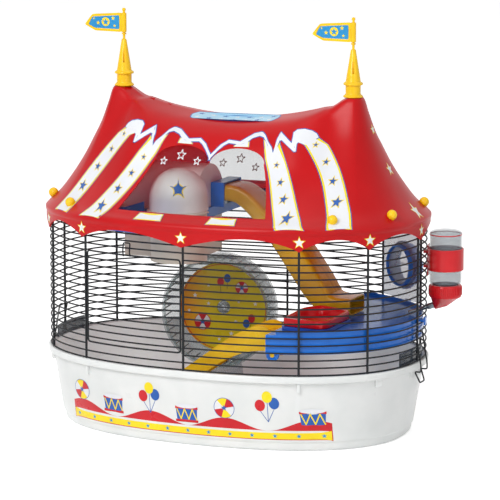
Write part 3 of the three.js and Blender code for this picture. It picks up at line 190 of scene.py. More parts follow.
def lathe(profile: Outline, sides: int = 64) -> Shape:
    """A turned solid about Z.

    Args:
        profile: pairs of radius and height. A radius of 0 is a pole. Where the first pair is also the last,
            the solid is a closed ring.
        sides: faces round the axis.

    Returns:
        The shape, with its poles closed.
    """
    ring = profile[0] == profile[-1]
    angles = np.linspace(0, 2 * math.pi, sides, endpoint=False)
    pairs = profile[:-1] if ring else profile
    sections = [[(r * math.cos(a), r * math.sin(a), z) for a in angles] for r, z in pairs]
    return skin(sections, capped=False, looped=ring)


def wire(path: Sequence[Triple], radius: float, sides: int = 8) -> Shape:
    """A round wire along a path, with flat ends."""
    points = [Vector(p) for p in path]
    runs = [(b - a).normalized() for a, b in zip(points, points[1:])]
    side = runs[0].orthogonal().normalized()
    sections = []
    for i, point in enumerate(points):
        into, out = runs[max(0, i - 1)], runs[min(len(runs) - 1, i)]
        mitre = (into + out).normalized()
        up = into.cross(side)
        ring = []
        for k in range(sides):
            angle = 2 * math.pi * k / sides
            offset = radius * (math.cos(angle) * side + math.sin(angle) * up)
            ring.append(tuple(point + offset - into * (offset.dot(mitre) / into.dot(mitre))))
        sections.append(ring)
        side = into.rotation_difference(out) @ side
    return skin(sections)


def star(radius: float, middle: Pair = (0, 0), waist: float = 0.42, turn: float = 0) -> list[Pair]:
    """A five-pointed star's outline round a middle, one point up."""
    made = []
    for i in range(10):
        angle = math.radians(turn + 90 + 36 * i)
        r = radius * waist if i % 2 else radius
        made.append((middle[0] + r * math.cos(angle), middle[1] + r * math.sin(angle)))
    return made


def disc(radius: float, middle: Pair = (0, 0), sides: int = 28, squash: float = 1) -> list[Pair]:
    """A round outline, or an oval one where squash isn't 1."""
    angles = np.linspace(0, 2 * math.pi, sides, endpoint=False)
    return [(middle[0] + radius * math.cos(a), middle[1] + radius * squash * math.sin(a)) for a in angles]


def arc(radius: float, first: float, last: float, count: int, middle: Pair = (0, 0)) -> list[Pair]:
    """Points of a round arc between two angles in degrees, both ends included."""
    angles = np.radians(np.linspace(first, last, count))
    return [(middle[0] + radius * math.cos(a), middle[1] + radius * math.sin(a)) for a in angles]


def stroke(path: Outline, half: float) -> list[list[Pair]]:
    """The outlines that together draw a line of a given half width with round joints."""
    made = []
    for a, b in zip(path, path[1:]):
        a, b = np.array(a, float), np.array(b, float)
        across = np.array((a[1] - b[1], b[0] - a[0])) / np.linalg.norm(b - a) * half
        made.append([tuple(a - across), tuple(b - across), tuple(b + across), tuple(a + across)])
    made += [disc(half, tuple(p), 12) for p in path]
    return made


def mirrored(outlines: Sequence[Outline]) -> list[list[Pair]]:
    """The outlines and their mirror images across the first axis."""
    return [list(o) for o in outlines] + [[(-u, v) for u, v in reversed(o)] for o in outlines]


def spline(table: Outline, where: np.ndarray) -> tuple[np.ndarray, np.ndarray]:
    """Both columns of a table read between its rows along a smooth curve."""
    rows = np.array([table[0], *table, table[-1]], float)
    at = np.clip(where, 0, len(table) - 1)
    low = np.minimum(at.astype(int), len(table) - 2)
    t = (at - low)[..., None]
    p0, p1, p2, p3 = (rows[low + i] for i in range(4))
    value = 0.5 * (2 * p1 + (p2 - p0) * t + (2 * p0 - 5 * p1 + 4 * p2 - p3) * t**2
                   + (3 * p1 - p0 - 3 * p2 + p3) * t**3)
    return value[..., 0], value[..., 1]


def smooth(low: float, high: float, value: np.ndarray) -> np.ndarray:
    """0 below low, 1 above high, and an eased step between them."""
    t = np.clip((value - low) / (high - low), 0, 1)
    return t * t * (3 - 2 * t)


def lerp(a: float, b: float, t: float) -> float:
    """The value a share t of the way from a to b."""
    return a + (b - a) * t


# ---- objects
def linked(name: str, data: bpy.types.ID) -> Object:
    """A new object of the scene that holds some data."""
    obj = bpy.data.objects.new(name, data)
    bpy.context.scene.collection.objects.link(obj)
    return obj


def made_mesh(name: str, points: np.ndarray, edges: Sequence = (), faces: Sequence = ()) -> bpy.types.Mesh:
    """A mesh in metres of points in millimetres."""
    mesh = bpy.data.meshes.new(name)
    mesh.from_pydata((points * MM).tolist(), list(edges), list(faces))
    return mesh


@contextmanager
def opened(mesh: bpy.types.Mesh) -> Iterator[bmesh.types.BMesh]:
    """A mesh opened for editing and written back at the end."""
    bm = bmesh.new()
    bm.from_mesh(mesh)
    yield bm
    bm.to_mesh(mesh)
    bm.free()


def made_object(name: str, shape: Shape) -> Object:
    """A mesh object of a shape: doubles merged and faces turned outwards."""
    mesh = made_mesh(name, shape.points, faces=shape.faces)
    with opened(mesh) as bm:
        bmesh.ops.remove_doubles(bm, verts=bm.verts, dist=WELD)
        bmesh.ops.dissolve_degenerate(bm, edges=bm.edges, dist=WELD / 20)
        bmesh.ops.recalc_face_normals(bm, faces=bm.faces)
    return linked(name, mesh)


def settled(obj: Object) -> Object:
    """The object with its modifiers worked into its mesh."""
    bpy.context.view_layer.update()
    depsgraph = bpy.context.evaluated_depsgraph_get()
    mesh = bpy.data.meshes.new_from_object(obj.evaluated_get(depsgraph), depsgraph=depsgraph)
    obj.modifiers.clear()
    obj.data = mesh
    return obj


class Joinery(Enum):
    """How one solid works on another."""

    CUT = "DIFFERENCE"
    ADD = "UNION"
    KEEP = "INTERSECT"


def worked(obj: Object, tool: Shape, how: Joinery = Joinery.CUT) -> Object:
    """The object after another solid is cut from it, added to it or kept in common with it."""
    other = made_object("tool", tool)
    modifier = obj.modifiers.new("work", "BOOLEAN")
    modifier.object, modifier.operation, modifier.solver = other, how.value, "EXACT"
    modifier.use_self = how is Joinery.ADD
    settled(obj)
    bpy.data.objects.remove(other)
    return obj


# ---- finishes
def linear(hex_colour: str) -> tuple[float, float, float, float]:
    """An sRGB hex colour as linear red, green, blue and an alpha of 1."""
    values = [int(hex_colour[i:i + 2], 16) / 255 for i in (1, 3, 5)]
    return (*(v / 12.92 if v <= 0.04045 else ((v + 0.055) / 1.055) ** 2.4 for v in values), 1.0)


def add_node(tree: Tree, kind: str, inputs: dict | None = None, **settings: object) -> bpy.types.Node:
    """Adds a node with its settings and links.

    Args:
        tree: the tree it goes in.
        kind: the node's type name.
        inputs: values or output sockets for its inputs, by name or number.
        settings: its properties.

    Returns:
        The node.
    """
    node = tree.nodes.new(kind)
    for name, value in settings.items():
        setattr(node, name, value)
    for key, value in (inputs or {}).items():
        if isinstance(value, Socket):
            tree.links.new(value, node.inputs[key])
        else:
            node.inputs[key].default_value = value
    return node


def fed(tree: Tree, kind: str, inputs: dict | None = None, **settings: object) -> Socket:
    """The first output of a new node."""
    return add_node(tree, kind, inputs, **settings).outputs[0]


def mixed(tree: Tree, share: Socket, near: Socket | Sequence[float], far: Sequence[float]) -> Socket:
    """A colour a share of the way from one to another."""
    return add_node(tree, "ShaderNodeMix", {0: share, 6: near, 7: far}, data_type="RGBA").outputs[2]


@dataclass(frozen=True)
class Finish:
    """A moulded, printed or coated surface: two close colours in clouds, varying gloss and a fine bump."""

    name: str
    colour: str
    cloud: str
    roughness: float
    cloud_mm: float = 40
    grain_mm: float = 2.5
    bump: float = 0.04
    alpha: float = 1
    metallic: float = 0
    ior: float = 1.36
    stretch: Triple = (1, 1, 1)
    cloud_edge: Pair = (0.35, 0.65)
    gloss_edge: Pair = (0.3, 0.7)
    gloss_spread: float = 0.15
    bump_mm: float = 0.5

    def material(self) -> bpy.types.Material:
        """The finish as a node material, made once."""
        known = bpy.data.materials.get(self.name)
        if known:
            return known
        material = bpy.data.materials.new(self.name)
        material.use_nodes = True
        tree = material.node_tree
        tree.nodes.clear()
        where = add_node(tree, "ShaderNodeTexCoord").outputs["Object"]
        mapped = fed(tree, "ShaderNodeMapping", {"Vector": where, "Scale": self.stretch})
        cloud = add_node(tree, "ShaderNodeTexNoise",
                         {"Vector": mapped, "Scale": 1 / (self.cloud_mm * MM), "Detail": 3}).outputs["Fac"]
        grain = add_node(tree, "ShaderNodeTexNoise",
                         {"Vector": mapped, "Scale": 1 / (self.grain_mm * MM), "Detail": 2}).outputs["Fac"]
        share = fed(tree, "ShaderNodeMapRange",
                    {"Value": cloud, "From Min": self.cloud_edge[0], "From Max": self.cloud_edge[1]})
        colour = self.coloured(tree, share, where)
        gloss = fed(tree, "ShaderNodeMapRange",
                    {"Value": cloud, "From Min": self.gloss_edge[0], "From Max": self.gloss_edge[1],
                     "To Min": self.roughness * (1 - self.gloss_spread),
                     "To Max": self.roughness * (1 + self.gloss_spread)})
        bump = fed(tree, "ShaderNodeBump",
                   {"Height": grain, "Strength": self.bump, "Distance": self.bump_mm * MM})
        look = {"Base Color": colour, "Roughness": gloss, "Normal": bump, "Alpha": self.alpha,
                "Metallic": self.metallic}
        if not self.metallic:
            look["IOR"] = self.ior
        shader = fed(tree, "ShaderNodeBsdfPrincipled", look)
        add_node(tree, "ShaderNodeOutputMaterial", {"Surface": shader})
        return material

    def coloured(self, tree: Tree, share: Socket, where: Socket) -> Socket:
        """The colour output: the two colours mixed by the clouds, the same all over the piece."""
        return mixed(tree, share, linear(self.colour), linear(self.cloud))


@dataclass(frozen=True)
class FadedFinish(Finish):
    """A finish that turns to another colour along one axis of the piece."""

    far_colour: str = "#ffffff"
    axis: str = "X"
    near_mm: float = 0
    far_mm: float = 100

    def coloured(self, tree: Tree, share: Socket, where: Socket) -> Socket:
        """The colour output: the clouded colour, fading to the far one."""
        base = super().coloured(tree, share, where)
        along = add_node(tree, "ShaderNodeSeparateXYZ", {0: where}).outputs[self.axis]
        fade = fed(tree, "ShaderNodeMapRange",
                   {"Value": along, "From Min": self.near_mm * MM, "From Max": self.far_mm * MM},
                   interpolation_type="SMOOTHSTEP")
        return mixed(tree, fade, base, linear(self.far_colour))


@dataclass(frozen=True)
class PaintedGlowFinish(Finish):
    """A thin moulding with a painted glow on its inner skin: emission that stands in for the daylight coming
    through the thin plastic.
    """

    painted_glow: float = 0.5
    mark: str = "inner_skin"
    flatness: float = 0.4
    least: float = 0.005

    def material(self) -> bpy.types.Material:
        """The finish as a node material, with a painted glow (emission) where the piece's attribute marks its
        inner skin.
        """
        known = bpy.data.materials.get(self.name)
        if known:
            return known
        material = super().material()
        tree = material.node_tree
        shader = next(node for node in tree.nodes if node.type == "BSDF_PRINCIPLED")
        inner = add_node(tree, "ShaderNodeAttribute", attribute_name=self.mark).outputs["Fac"]
        # Painted glow: emission on the inner skin that brightens its shaded side.
        strength = fed(tree, "ShaderNodeMath", {0: inner, 1: self.painted_glow}, operation="MULTIPLY")
        tree.links.new(strength, shader.inputs["Emission Strength"])
        shader.inputs["Emission Color"].default_value = linear(self.colour)
        return material

    def marked(self, obj: Object, height: float) -> None:
        """Marks a long hollow piece's faces that look towards its middle at a height, in millimetres, for the
        painted glow.

        Args:
            obj: the piece. Its length lies along X, where its flatness makes up for how long it is.
            height: the height of its middle.
        """
        inner = obj.data.attributes.new(self.mark, "FLOAT", "FACE")
        for face, spot in zip(obj.data.polygons, inner.data):
            x, y, z = face.center
            outwards = Vector((x * self.flatness, y, z - height * MM))
            spot.value = float(face.normal.dot(outwards) < -self.least)


# Polypropylene, injection moulded: a soft satin shell with faint grey clouds. Its inside carries a painted
# glow that brightens the shaded floor of the tray.
BASIN_WHITE = PaintedGlowFinish("polypropylene_white", "#e0e2e1", "#d9dcdb", 0.32, bump=0.03, painted_glow=0.19)
# Polystyrene, injection moulded and polished: deep red with a clean gloss. Its inner skin carries a painted
# glow that brightens the shaded inside of the roof.
TENT_RED = PaintedGlowFinish("polystyrene_red", "#bb0c12", "#b0090f", 0.34, cloud_mm=90, bump=0.02, ior=1.28)
# Red polystyrene of the cap and the strap: bright and glossy.
TRIM_RED = Finish("polystyrene_trim_red", "#d01a22", "#c2151d", 0.22, bump=0.02)
# Yellow polystyrene of the spires, flags and studs: warm, with a soft highlight.
YELLOW = Finish("polystyrene_yellow", "#f2c71a", "#e9b914", 0.25, bump=0.03)
# Polypropylene of the ramp: duller and more orange, with a slight grain.
RAMP_YELLOW = Finish("ramp_polypropylene_yellow", "#f0c420", "#e2ae18", 0.3, cloud_mm=25, bump=0.05)
# Blue polystyrene: sky blue for the raised deck, darker for the bowl's holder, paler under the roof, where
# the paler blue is painted light that makes up for the shade there.
DECK_BLUE = Finish("deck_polystyrene_blue", "#2273d4", "#1e67c6", 0.2, bump=0.03)
DEEP_BLUE = Finish("polystyrene_deep_blue", "#234fae", "#1d469f", 0.22, bump=0.03)
LOFT_BLUE_PAINTED_LIGHT = Finish("loft_polystyrene_blue", "#3478e2", "#2d6cd2", 0.22, bump=0.03)
# Amber-tinted polystyrene: streaks along the pull of the mould.
CHUTE_AMBER = Finish("chute_polystyrene_amber", "#d2a520", "#bb8c18", 0.22, cloud_mm=14, bump=0.05,
                     stretch=(0.35, 2.2, 0.35))
# Powder-coated steel wire: near black, with the orange-peel skin of baked powder.
WIRE_BLACK = Finish("powder_coated_wire", "#0b0e12", "#12161b", 0.5, cloud_mm=12, grain_mm=0.8, bump=0.12)
# Smoked polystyrene: dark grey brackets that let a little light through.
SMOKE = Finish("smoked_polystyrene", "#38424d", "#2d3640", 0.18, alpha=0.78)
# Clear polystyrene: shows what is behind it and keeps a hard gloss.
CLEAR = Finish("clear_polystyrene", "#b9c6cd", "#a9b7bf", 0.08, alpha=0.3, bump=0.01)
WHEEL_CLEAR = Finish("wheel_clear_polystyrene", "#8fa3a6", "#788c90", 0.1, alpha=0.4, bump=0.02)
BOTTLE_CLEAR = Finish("bottle_clear_polystyrene", "#8d99a1", "#828e96", 0.06, alpha=0.3, bump=0.01)
# Thin smoked polystyrene: the roof's inside shows through it a little darker.
PANE = Finish("window_smoked_polystyrene", "#33404b", "#2c3843", 0.06, alpha=0.12, bump=0.01)
# Frosted polypropylene: milky, with no sharp highlight.
FROSTED = Finish("den_frosted_polypropylene", "#eceae8", "#e0dedb", 0.35, alpha=0.93, bump=0.03)
TUB_BEIGE = Finish("tub_frosted_polypropylene", "#dfd8ca", "#d5cdbf", 0.38, bump=0.03)
# Drawn stainless steel: a cool grey with fine clouds, and a bright line along the tube.
STEEL = Finish("drawn_stainless_steel", "#7c858b", "#6b747a", 0.3, cloud_mm=3, metallic=1, bump=0.02)
# Moulded rubber: matt black.
RUBBER = Finish("seal_rubber_black", "#23262a", "#1c1f22", 0.7, bump=0.1)
# Polystyrene of the bowl and the port's ring: clean colour under a hard gloss.
BOWL_RED = Finish("bowl_polystyrene_red", "#d2141f", "#c4111b", 0.2, bump=0.02)
# The port ring's paler blue is painted light that makes up for the shade it sits in.
PORT_BLUE_PAINTED_LIGHT = Finish("port_polystyrene_blue", "#3b82e0", "#3476d0", 0.2, bump=0.02)
# Clear polystyrene seen through its edges: greyer, and the wheel's rungs darker still.
PORT_CLEAR = Finish("port_clear_polystyrene", "#a9bfce", "#9ab0c0", 0.08, alpha=0.45, bump=0.01)
STAND_CLEAR = Finish("stand_clear_polystyrene", "#aebac1", "#9fabb3", 0.12, alpha=0.4, bump=0.02)
RUNG_GREY = Finish("rung_smoked_polystyrene", "#5d6a72", "#515d65", 0.2, alpha=0.75, bump=0.02)
# Matt white laminate: a plain table that keeps a soft shadow.
FLOOR_WHITE = Finish("studio_laminate_white", "#fcfcfc", "#fafafa", 0.8, cloud_mm=400, bump=0.0)
# Screen-printed vinyl film: flat opaque inks under a thin gloss.
PRINT_WHITE = Finish("printed_film_white", "#e0e2e6", "#d9dbe0", 0.3, bump=0.02)
PRINT_YELLOW = Finish("printed_film_yellow", "#f2da22", "#ebcf1c", 0.3, bump=0.02)
PRINT_BLUE = Finish("printed_film_blue", "#2b5fae", "#2556a3", 0.3, bump=0.02)
PRINT_SKY = Finish("printed_film_sky", "#a9d3ea", "#98c7e2", 0.3, bump=0.02)
PRINT_RED = Finish("printed_film_red", "#c9202a", "#bd1a24", 0.3, bump=0.02)
PRINT_BROWN = Finish("printed_film_brown", "#4a2620", "#40201b", 0.3, bump=0.02)
FLAG_BLUE = Finish("flag_film_blue", "#2a8fc8", "#2485be", 0.3, bump=0.02)
# Printed polystyrene disc: orange that fades to yellow-green at one side.
DISC_PRINT = FadedFinish("wheel_printed_orange", "#e8921c", "#e5a020", 0.3, far_colour="#d8c224", axis="X",
                         near_mm=-92, far_mm=-52)


# ---- the bench
class Bench:
    """Where each mesh is eased, finished and handed to its CAD body."""

    eased_from = math.radians(32)
    flat = math.radians(0.6)

    def __init__(self, nodes: dict[str, Object]) -> None:
        """Takes the CAD nodes by name."""
        self.nodes = nodes

    def add(self, obj: Object, finish: Finish, body: str, slot: str, replaces: Sequence[str] = (),
            bevel: float = 0, sharp: float = 35) -> Object:
        """Finishes a piece.

        Args:
            obj: the mesh object, in place.
            finish: its finish.
            body: the CAD body it rides on.
            slot: the record's material slot; not used.
            replaces: the CAD nodes it stands for.
            bevel: how far its edges are eased, in millimetres.
            sharp: the angle in degrees past which an edge stays crisp.

        Returns:
            The finished piece.
        """
        if bevel:
            ease = obj.modifiers.new("ease", "BEVEL")
            ease.width, ease.segments, ease.limit_method = bevel * MM, 2, "ANGLE"
            ease.angle_limit, ease.use_clamp_overlap = self.eased_from, True
            settled(obj)
        obj.data.shade_smooth()
        obj.data.set_sharp_from_angle(angle=math.radians(sharp))
        if bevel:
            even = obj.modifiers.new("even", "WEIGHTED_NORMAL")
            even.keep_sharp = True
            settled(obj)
        obj.data.materials.clear()
        obj.data.materials.append(finish.material())
        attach(obj, body)
        if replaces:
            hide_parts(*replaces)
        log.info("%s: %d faces on %s", obj.name, len(obj.data.polygons), body)
        return obj

    def copied(self, name: str, node: str) -> Object:
        """A CAD node's mesh in a new object: corners merged and flat faces made whole."""
        mesh = self.nodes[node].data.copy()
        mesh.name = name
        with opened(mesh) as bm:
            bmesh.ops.remove_doubles(bm, verts=bm.verts, dist=WELD)
            bmesh.ops.dissolve_limit(bm, angle_limit=self.flat, verts=bm.verts, edges=bm.edges)
        return linked(name, mesh)


# ---- node trees that repeat a shape
@dataclass
class Repeater:
    """A geometry node tree with named inputs, run on a small mesh and turned into a plain one."""

    name: str
    tree: Tree = field(init=False)
    inputs: dict[str, str] = field(init=False, default_factory=dict)

    def __post_init__(self) -> None:
        """Starts the tree with a geometry input and output."""
        self.tree = bpy.data.node_groups.new(self.name, "GeometryNodeTree")
        self.tree.interface.new_socket("Geometry", in_out="INPUT", socket_type="NodeSocketGeometry")
        self.tree.interface.new_socket("Geometry", in_out="OUTPUT", socket_type="NodeSocketGeometry")

    def ask(self, **kinds: str) -> bpy.types.bpy_prop_collection:
        """Adds a named input of each kind and returns the sockets of all the tree's inputs."""
        for name, kind in kinds.items():
            socket = self.tree.interface.new_socket(name, in_out="INPUT", socket_type=f"NodeSocket{kind}")
            self.inputs[name] = socket.identifier
        return add_node(self.tree, "NodeGroupInput").outputs

    def close(self, geometry: Socket, material: Socket) -> None:
        """Ends the tree with real meshes that carry their material."""
        real = fed(self.tree, "GeometryNodeRealizeInstances", {0: geometry})
        dressed = fed(self.tree, "GeometryNodeSetMaterial", {"Geometry": real, "Material": material})
        add_node(self.tree, "NodeGroupOutput", {0: dressed})

    def run(self, name: str, points: Sequence[Triple], edges: Sequence[tuple[int, int]] = (),
            **values: object) -> Object:
        """Runs the tree.

        Args:
            name: the object's name.
            points: corners of the small mesh, in millimetres.
            edges: its edges.
            values: the tree's inputs by name.

        Returns:
            An object with the plain mesh that came out.
        """
        obj = linked(name, made_mesh(name, np.array(points, float), edges))
        modifier = obj.modifiers.new(self.name, "NODES")
        modifier.node_group = self.tree
        for key, value in values.items():
            modifier[self.inputs[key]] = value
        return settled(obj)


def wire_rows() -> Repeater:
    """A tree that repeats the mesh's path upwards and makes each copy a round wire."""
    made = Repeater("wire_rows")
    given = made.ask(count="Int", start="Float", pitch="Float", radius="Float", sides="Int",
                     finish="Material")
    tree = made.tree
    start = fed(tree, "ShaderNodeCombineXYZ", {"Z": given["start"]})
    step = fed(tree, "ShaderNodeCombineXYZ", {"Z": given["pitch"]})
    rows = fed(tree, "GeometryNodeMeshLine",
               {"Count": given["count"], "Start Location": start, "Offset": step}, mode="OFFSET")
    path = fed(tree, "GeometryNodeMeshToCurve", {0: given[0]})
    copies = fed(tree, "GeometryNodeInstanceOnPoints", {"Points": rows, "Instance": path})
    real = fed(tree, "GeometryNodeRealizeInstances", {0: copies})
    section = fed(tree, "GeometryNodeCurvePrimitiveCircle",
                  {"Resolution": given["sides"], "Radius": given["radius"]})
    body = fed(tree, "GeometryNodeCurveToMesh", {"Curve": real, "Profile Curve": section, "Fill Caps": True})
    made.close(body, given["finish"])
    return made


def rods_on_points() -> Repeater:
    """A tree that stands a round rod on each point of the mesh."""
    made = Repeater("rods_on_points")
    given = made.ask(height="Float", radius="Float", sides="Int", finish="Material")
    tree = made.tree
    rod = fed(tree, "GeometryNodeMeshCylinder",
              {"Vertices": given["sides"], "Radius": given["radius"], "Depth": given["height"]})
    copies = fed(tree, "GeometryNodeInstanceOnPoints", {"Points": given[0], "Instance": rod})
    made.close(copies, given["finish"])
    return made


def ribs_round_axis() -> Repeater:
    """A tree that sets even ribs on a circle about Z, each turned to face outwards."""
    made = Repeater("ribs_round_axis")
    given = made.ask(count="Int", radius="Float", size="Vector", turn="Float", finish="Material")
    tree = made.tree
    circle = fed(tree, "GeometryNodeMeshCircle",
                 {"Vertices": given["count"], "Radius": given["radius"]}, fill_type="NONE")
    index = fed(tree, "GeometryNodeInputIndex")
    share = fed(tree, "ShaderNodeMath", {0: index, 1: given["count"]}, operation="DIVIDE")
    angle = fed(tree, "ShaderNodeMath", {0: share, 1: math.tau}, operation="MULTIPLY")
    turn = fed(tree, "ShaderNodeCombineXYZ", {"Z": angle})
    rib = fed(tree, "GeometryNodeMeshCube", {"Size": given["size"]})
    copies = fed(tree, "GeometryNodeInstanceOnPoints", {"Points": circle, "Instance": rib, "Rotation": turn})
    whole = fed(tree, "ShaderNodeCombineXYZ", {"Z": given["turn"]})
    real = fed(tree, "GeometryNodeRealizeInstances", {0: copies})
    turned = fed(tree, "GeometryNodeTransform", {"Geometry": real, "Rotation": whole})
    made.close(turned, given["finish"])
    return made


def bars_along_line() -> Repeater:
    """A tree that lays even bars from one point to another, all turned alike."""
    made = Repeater("bars_along_line")
    given = made.ask(count="Int", first="Vector", last="Vector", size="Vector", tilt="Float",
                     finish="Material")
    tree = made.tree
    spots = fed(tree, "GeometryNodeMeshLine",
                {"Count": given["count"], "Start Location": given["first"], "Offset": given["last"]},
                mode="END_POINTS")
    bar = fed(tree, "GeometryNodeMeshCube", {"Size": given["size"]})
    turn = fed(tree, "ShaderNodeCombineXYZ", {"Y": given["tilt"]})
    copies = fed(tree, "GeometryNodeInstanceOnPoints", {"Points": spots, "Instance": bar, "Rotation": turn})
    made.close(copies, given["finish"])
    return made


def joined(name: str, *objects: Object) -> Object:
    """Several mesh objects as one, under a name."""
    bm = bmesh.new()
    for obj in objects:
        bm.from_mesh(obj.data)
        bpy.data.objects.remove(obj)
    mesh = bpy.data.meshes.new(name)
    bm.to_mesh(mesh)
    bm.free()
    return linked(name, mesh)


# ---- printed film
@dataclass(frozen=True)
class Aim:
    """A flat drawing board in front of a surface, and the way that its prints travel to it."""

    origin: Triple
    across: Triple
    inward: Triple

    def point(self, spot: Pair) -> Vector:
        """The place of a drawn point on the board."""
        return Vector(self.origin) + spot[0] * Vector(self.across) + Vector((0, 0, spot[1]))

    @staticmethod
    def outside(x: float, y: float, out: Vector, distance: float = 60) -> "Aim":
        """A board that stands a distance out from an upright line of the surface."""
        return Aim((x + distance * out.x, y + distance * out.y, 0), (-out.y, out.x, 0), tuple(-out))


class BoardAim(Aim):
    """A board that lies level: its second axis runs along Y."""

    def point(self, spot: Pair) -> Vector:
        """The place of a drawn point on the board."""
        return Vector(self.origin) + Vector((spot[0], spot[1], 0))


FRONT = Aim((0, -400, 0), (1, 0, 0), (0, 1, 0))
BACK = Aim((0, 400, 0), (-1, 0, 0), (0, -1, 0))
RIGHT = Aim((400, 0, 0), (0, 1, 0), (-1, 0, 0))
LEFT = Aim((-400, 0, 0), (0, -1, 0), (1, 0, 0))
ABOVE = BoardAim((0, 0, 500), (1, 0, 0), (0, 0, -1))


def patch(outlines: Sequence[Outline], step: float) -> tuple[list[Pair], list[tuple[int, ...]]]:
    """Fine triangles over the union of some flat outlines."""
    spots = [p for outline in outlines for p in outline]
    faces, start = [], 0
    for outline in outlines:
        turn = sum(a[0] * b[1] - b[0] * a[1] for a, b in zip(outline, [*outline[1:], outline[0]]))
        ring = list(range(start, start + len(outline)))
        faces.append(ring if turn > 0 else ring[::-1])
        start += len(outline)
    low, high = np.min(spots, 0), np.max(spots, 0)
    for u in np.arange(low[0] + step / 2, high[0], step):
        for v in np.arange(low[1] + step / 2, high[1], step):
            spots.append((u, v))
    corners, _, triangles, _, _, origins = delaunay_2d_cdt([Vector(p) for p in spots], [], faces, 1, 1e-4)
    return [tuple(c) for c in corners], [tuple(t) for t, origin in zip(triangles, origins) if origin]


class Film:
    """Printed film that lies on a surface, one colour at a time."""

    thickness = 0.06
    overprint = 0.07

    def __init__(self, surface: Shape | None = None) -> None:
        """Takes the surface that carries the prints, unless they come as ready sheets."""
        if surface:
            self.tree = BVHTree.FromPolygons(surface.points.tolist(), surface.faces)
        self.sheets: dict[Finish, list[Shape]] = {}

    def lay(self, finish: Finish, outlines: Sequence[Outline], height: float, aim: Aim,
            step: float = 4) -> None:
        """Lays outlines on the surface.

        Args:
            finish: the ink.
            outlines: flat outlines on the aim's board. Where they overlap they print as one.
            height: how far the film stands off the surface.
            aim: the board.
            step: the longest stretch between points.
        """
        spots, triangles = patch(outlines, step)
        inward = Vector(aim.inward)
        points: list[Triple | None] = []
        for spot in spots:
            hit, normal, _, _ = self.tree.ray_cast(aim.point(spot), inward)
            if hit is None:
                points.append(None)
            else:
                points.append(tuple(hit + (-normal if normal.dot(inward) > 0 else normal) * height))
        faces = []
        for triangle in triangles:
            if any(points[i] is None for i in triangle):
                continue
            a, b, c = (Vector(points[i]) for i in triangle)
            faces.append(triangle if (b - a).cross(c - a).dot(inward) < 0 else triangle[::-1])
        whole = np.array([p or (0, 0, 0) for p in points], float)
        self.sheets.setdefault(finish, []).append(Shape(whole, faces))

    def starred(self, middle: Pair, radius: float, aim: Aim, edge: Finish, face: Finish, height: float = 0.3,
                border: float = 1.1) -> None:
        """A star with an edge of another colour."""
        self.lay(edge, [star(radius + border * 1.7, middle)], height, aim, 3)
        self.lay(face, [star(radius, middle)], height + self.overprint, aim, 3)

    def finish(self, bench: Bench, prefix: str, body: str) -> None:
        """Makes each colour one thin piece on a body."""
        for finish, sheets in self.sheets.items():
            shape = gathered(sheets)
            mesh = made_mesh(prefix, shape.points, faces=shape.faces)
            with opened(mesh) as bm:
                bmesh.ops.delete(bm, geom=[v for v in bm.verts if not v.link_faces], context="VERTS")
            obj = linked(f"{prefix}_{finish.name.split('_')[-1]}", mesh)
            thick = obj.modifiers.new("film", "SOLIDIFY")
            thick.thickness, thick.offset = self.thickness * MM, -1
            bench.add(settled(obj), finish, body, "printed_plastic")


# ---- plan of the cage
@dataclass(frozen=True)
class Plan:
    """The sizes that the sub-assemblies share. Angles are in degrees from +X."""

    rim_length: float = 246.5
    rim_depth: float = 168
    rim_top: float = 97
    power: float = 2.3
    wire_inset: float = 3.5
    first_ring: float = 98.3
    pitch: float = 9.04
    post_top: float = 262.02
    posts: tuple[float, ...] = (0, 30.8, 57.1, 90, 122.9, 149.2, 180, 210.8, 237.1, 270, 302.9, 329.2)

    def oval(self, degrees: float, half_length: float, half_depth: float) -> Pair:
        """A point of the plan curve for given half sizes."""
        c, s = math.cos(math.radians(degrees)), math.sin(math.radians(degrees))
        p = 2 / self.power
        return half_length * math.copysign(abs(c) ** p, c), half_depth * math.copysign(abs(s) ** p, s)

    def rim(self, degrees: float, inset: float) -> Pair:
        """A point of the curve that lies a distance inside the rim."""
        return self.oval(degrees, self.rim_length - inset, self.rim_depth - inset)

    def wire(self, degrees: float) -> Pair:
        """A point of the wires' middle line."""
        return self.rim(degrees, self.wire_inset)

    def wall_x(self, y: float) -> float:
        """How far the wires' middle line lies along X at a place along Y."""
        share = 1 - (y / (self.rim_depth - self.wire_inset)) ** self.power
        return (self.rim_length - self.wire_inset) * share ** (1 / self.power)

    def ring_z(self, index: float) -> float:
        """The height of a ring, counted from the lowest."""
        return self.first_ring + index * self.pitch

    def heading(self, degrees: float) -> float:
        """The way that the wall faces at an angle, in degrees."""
        x, y = self.wire(degrees)
        return math.degrees(math.atan2(y / (self.rim_depth - self.wire_inset) ** 2,
                                       x / (self.rim_length - self.wire_inset) ** 2))

    def inside_bay(self, bay: int, distance: float, far: bool) -> float:
        """The angle at which the curve has run a distance from one of a bay's posts."""
        bounds = (*self.posts, 360)
        start, other = (bounds[bay + 1], bounds[bay]) if far else (bounds[bay], bounds[bay + 1])
        x0, y0 = self.wire(start)
        near, end = start, other
        for _ in range(40):
            middle = (near + end) / 2
            x, y = self.wire(middle)
            if math.hypot(x - x0, y - y0) < distance:
                near = middle
            else:
                end = middle
        return (near + end) / 2


PLAN = Plan()


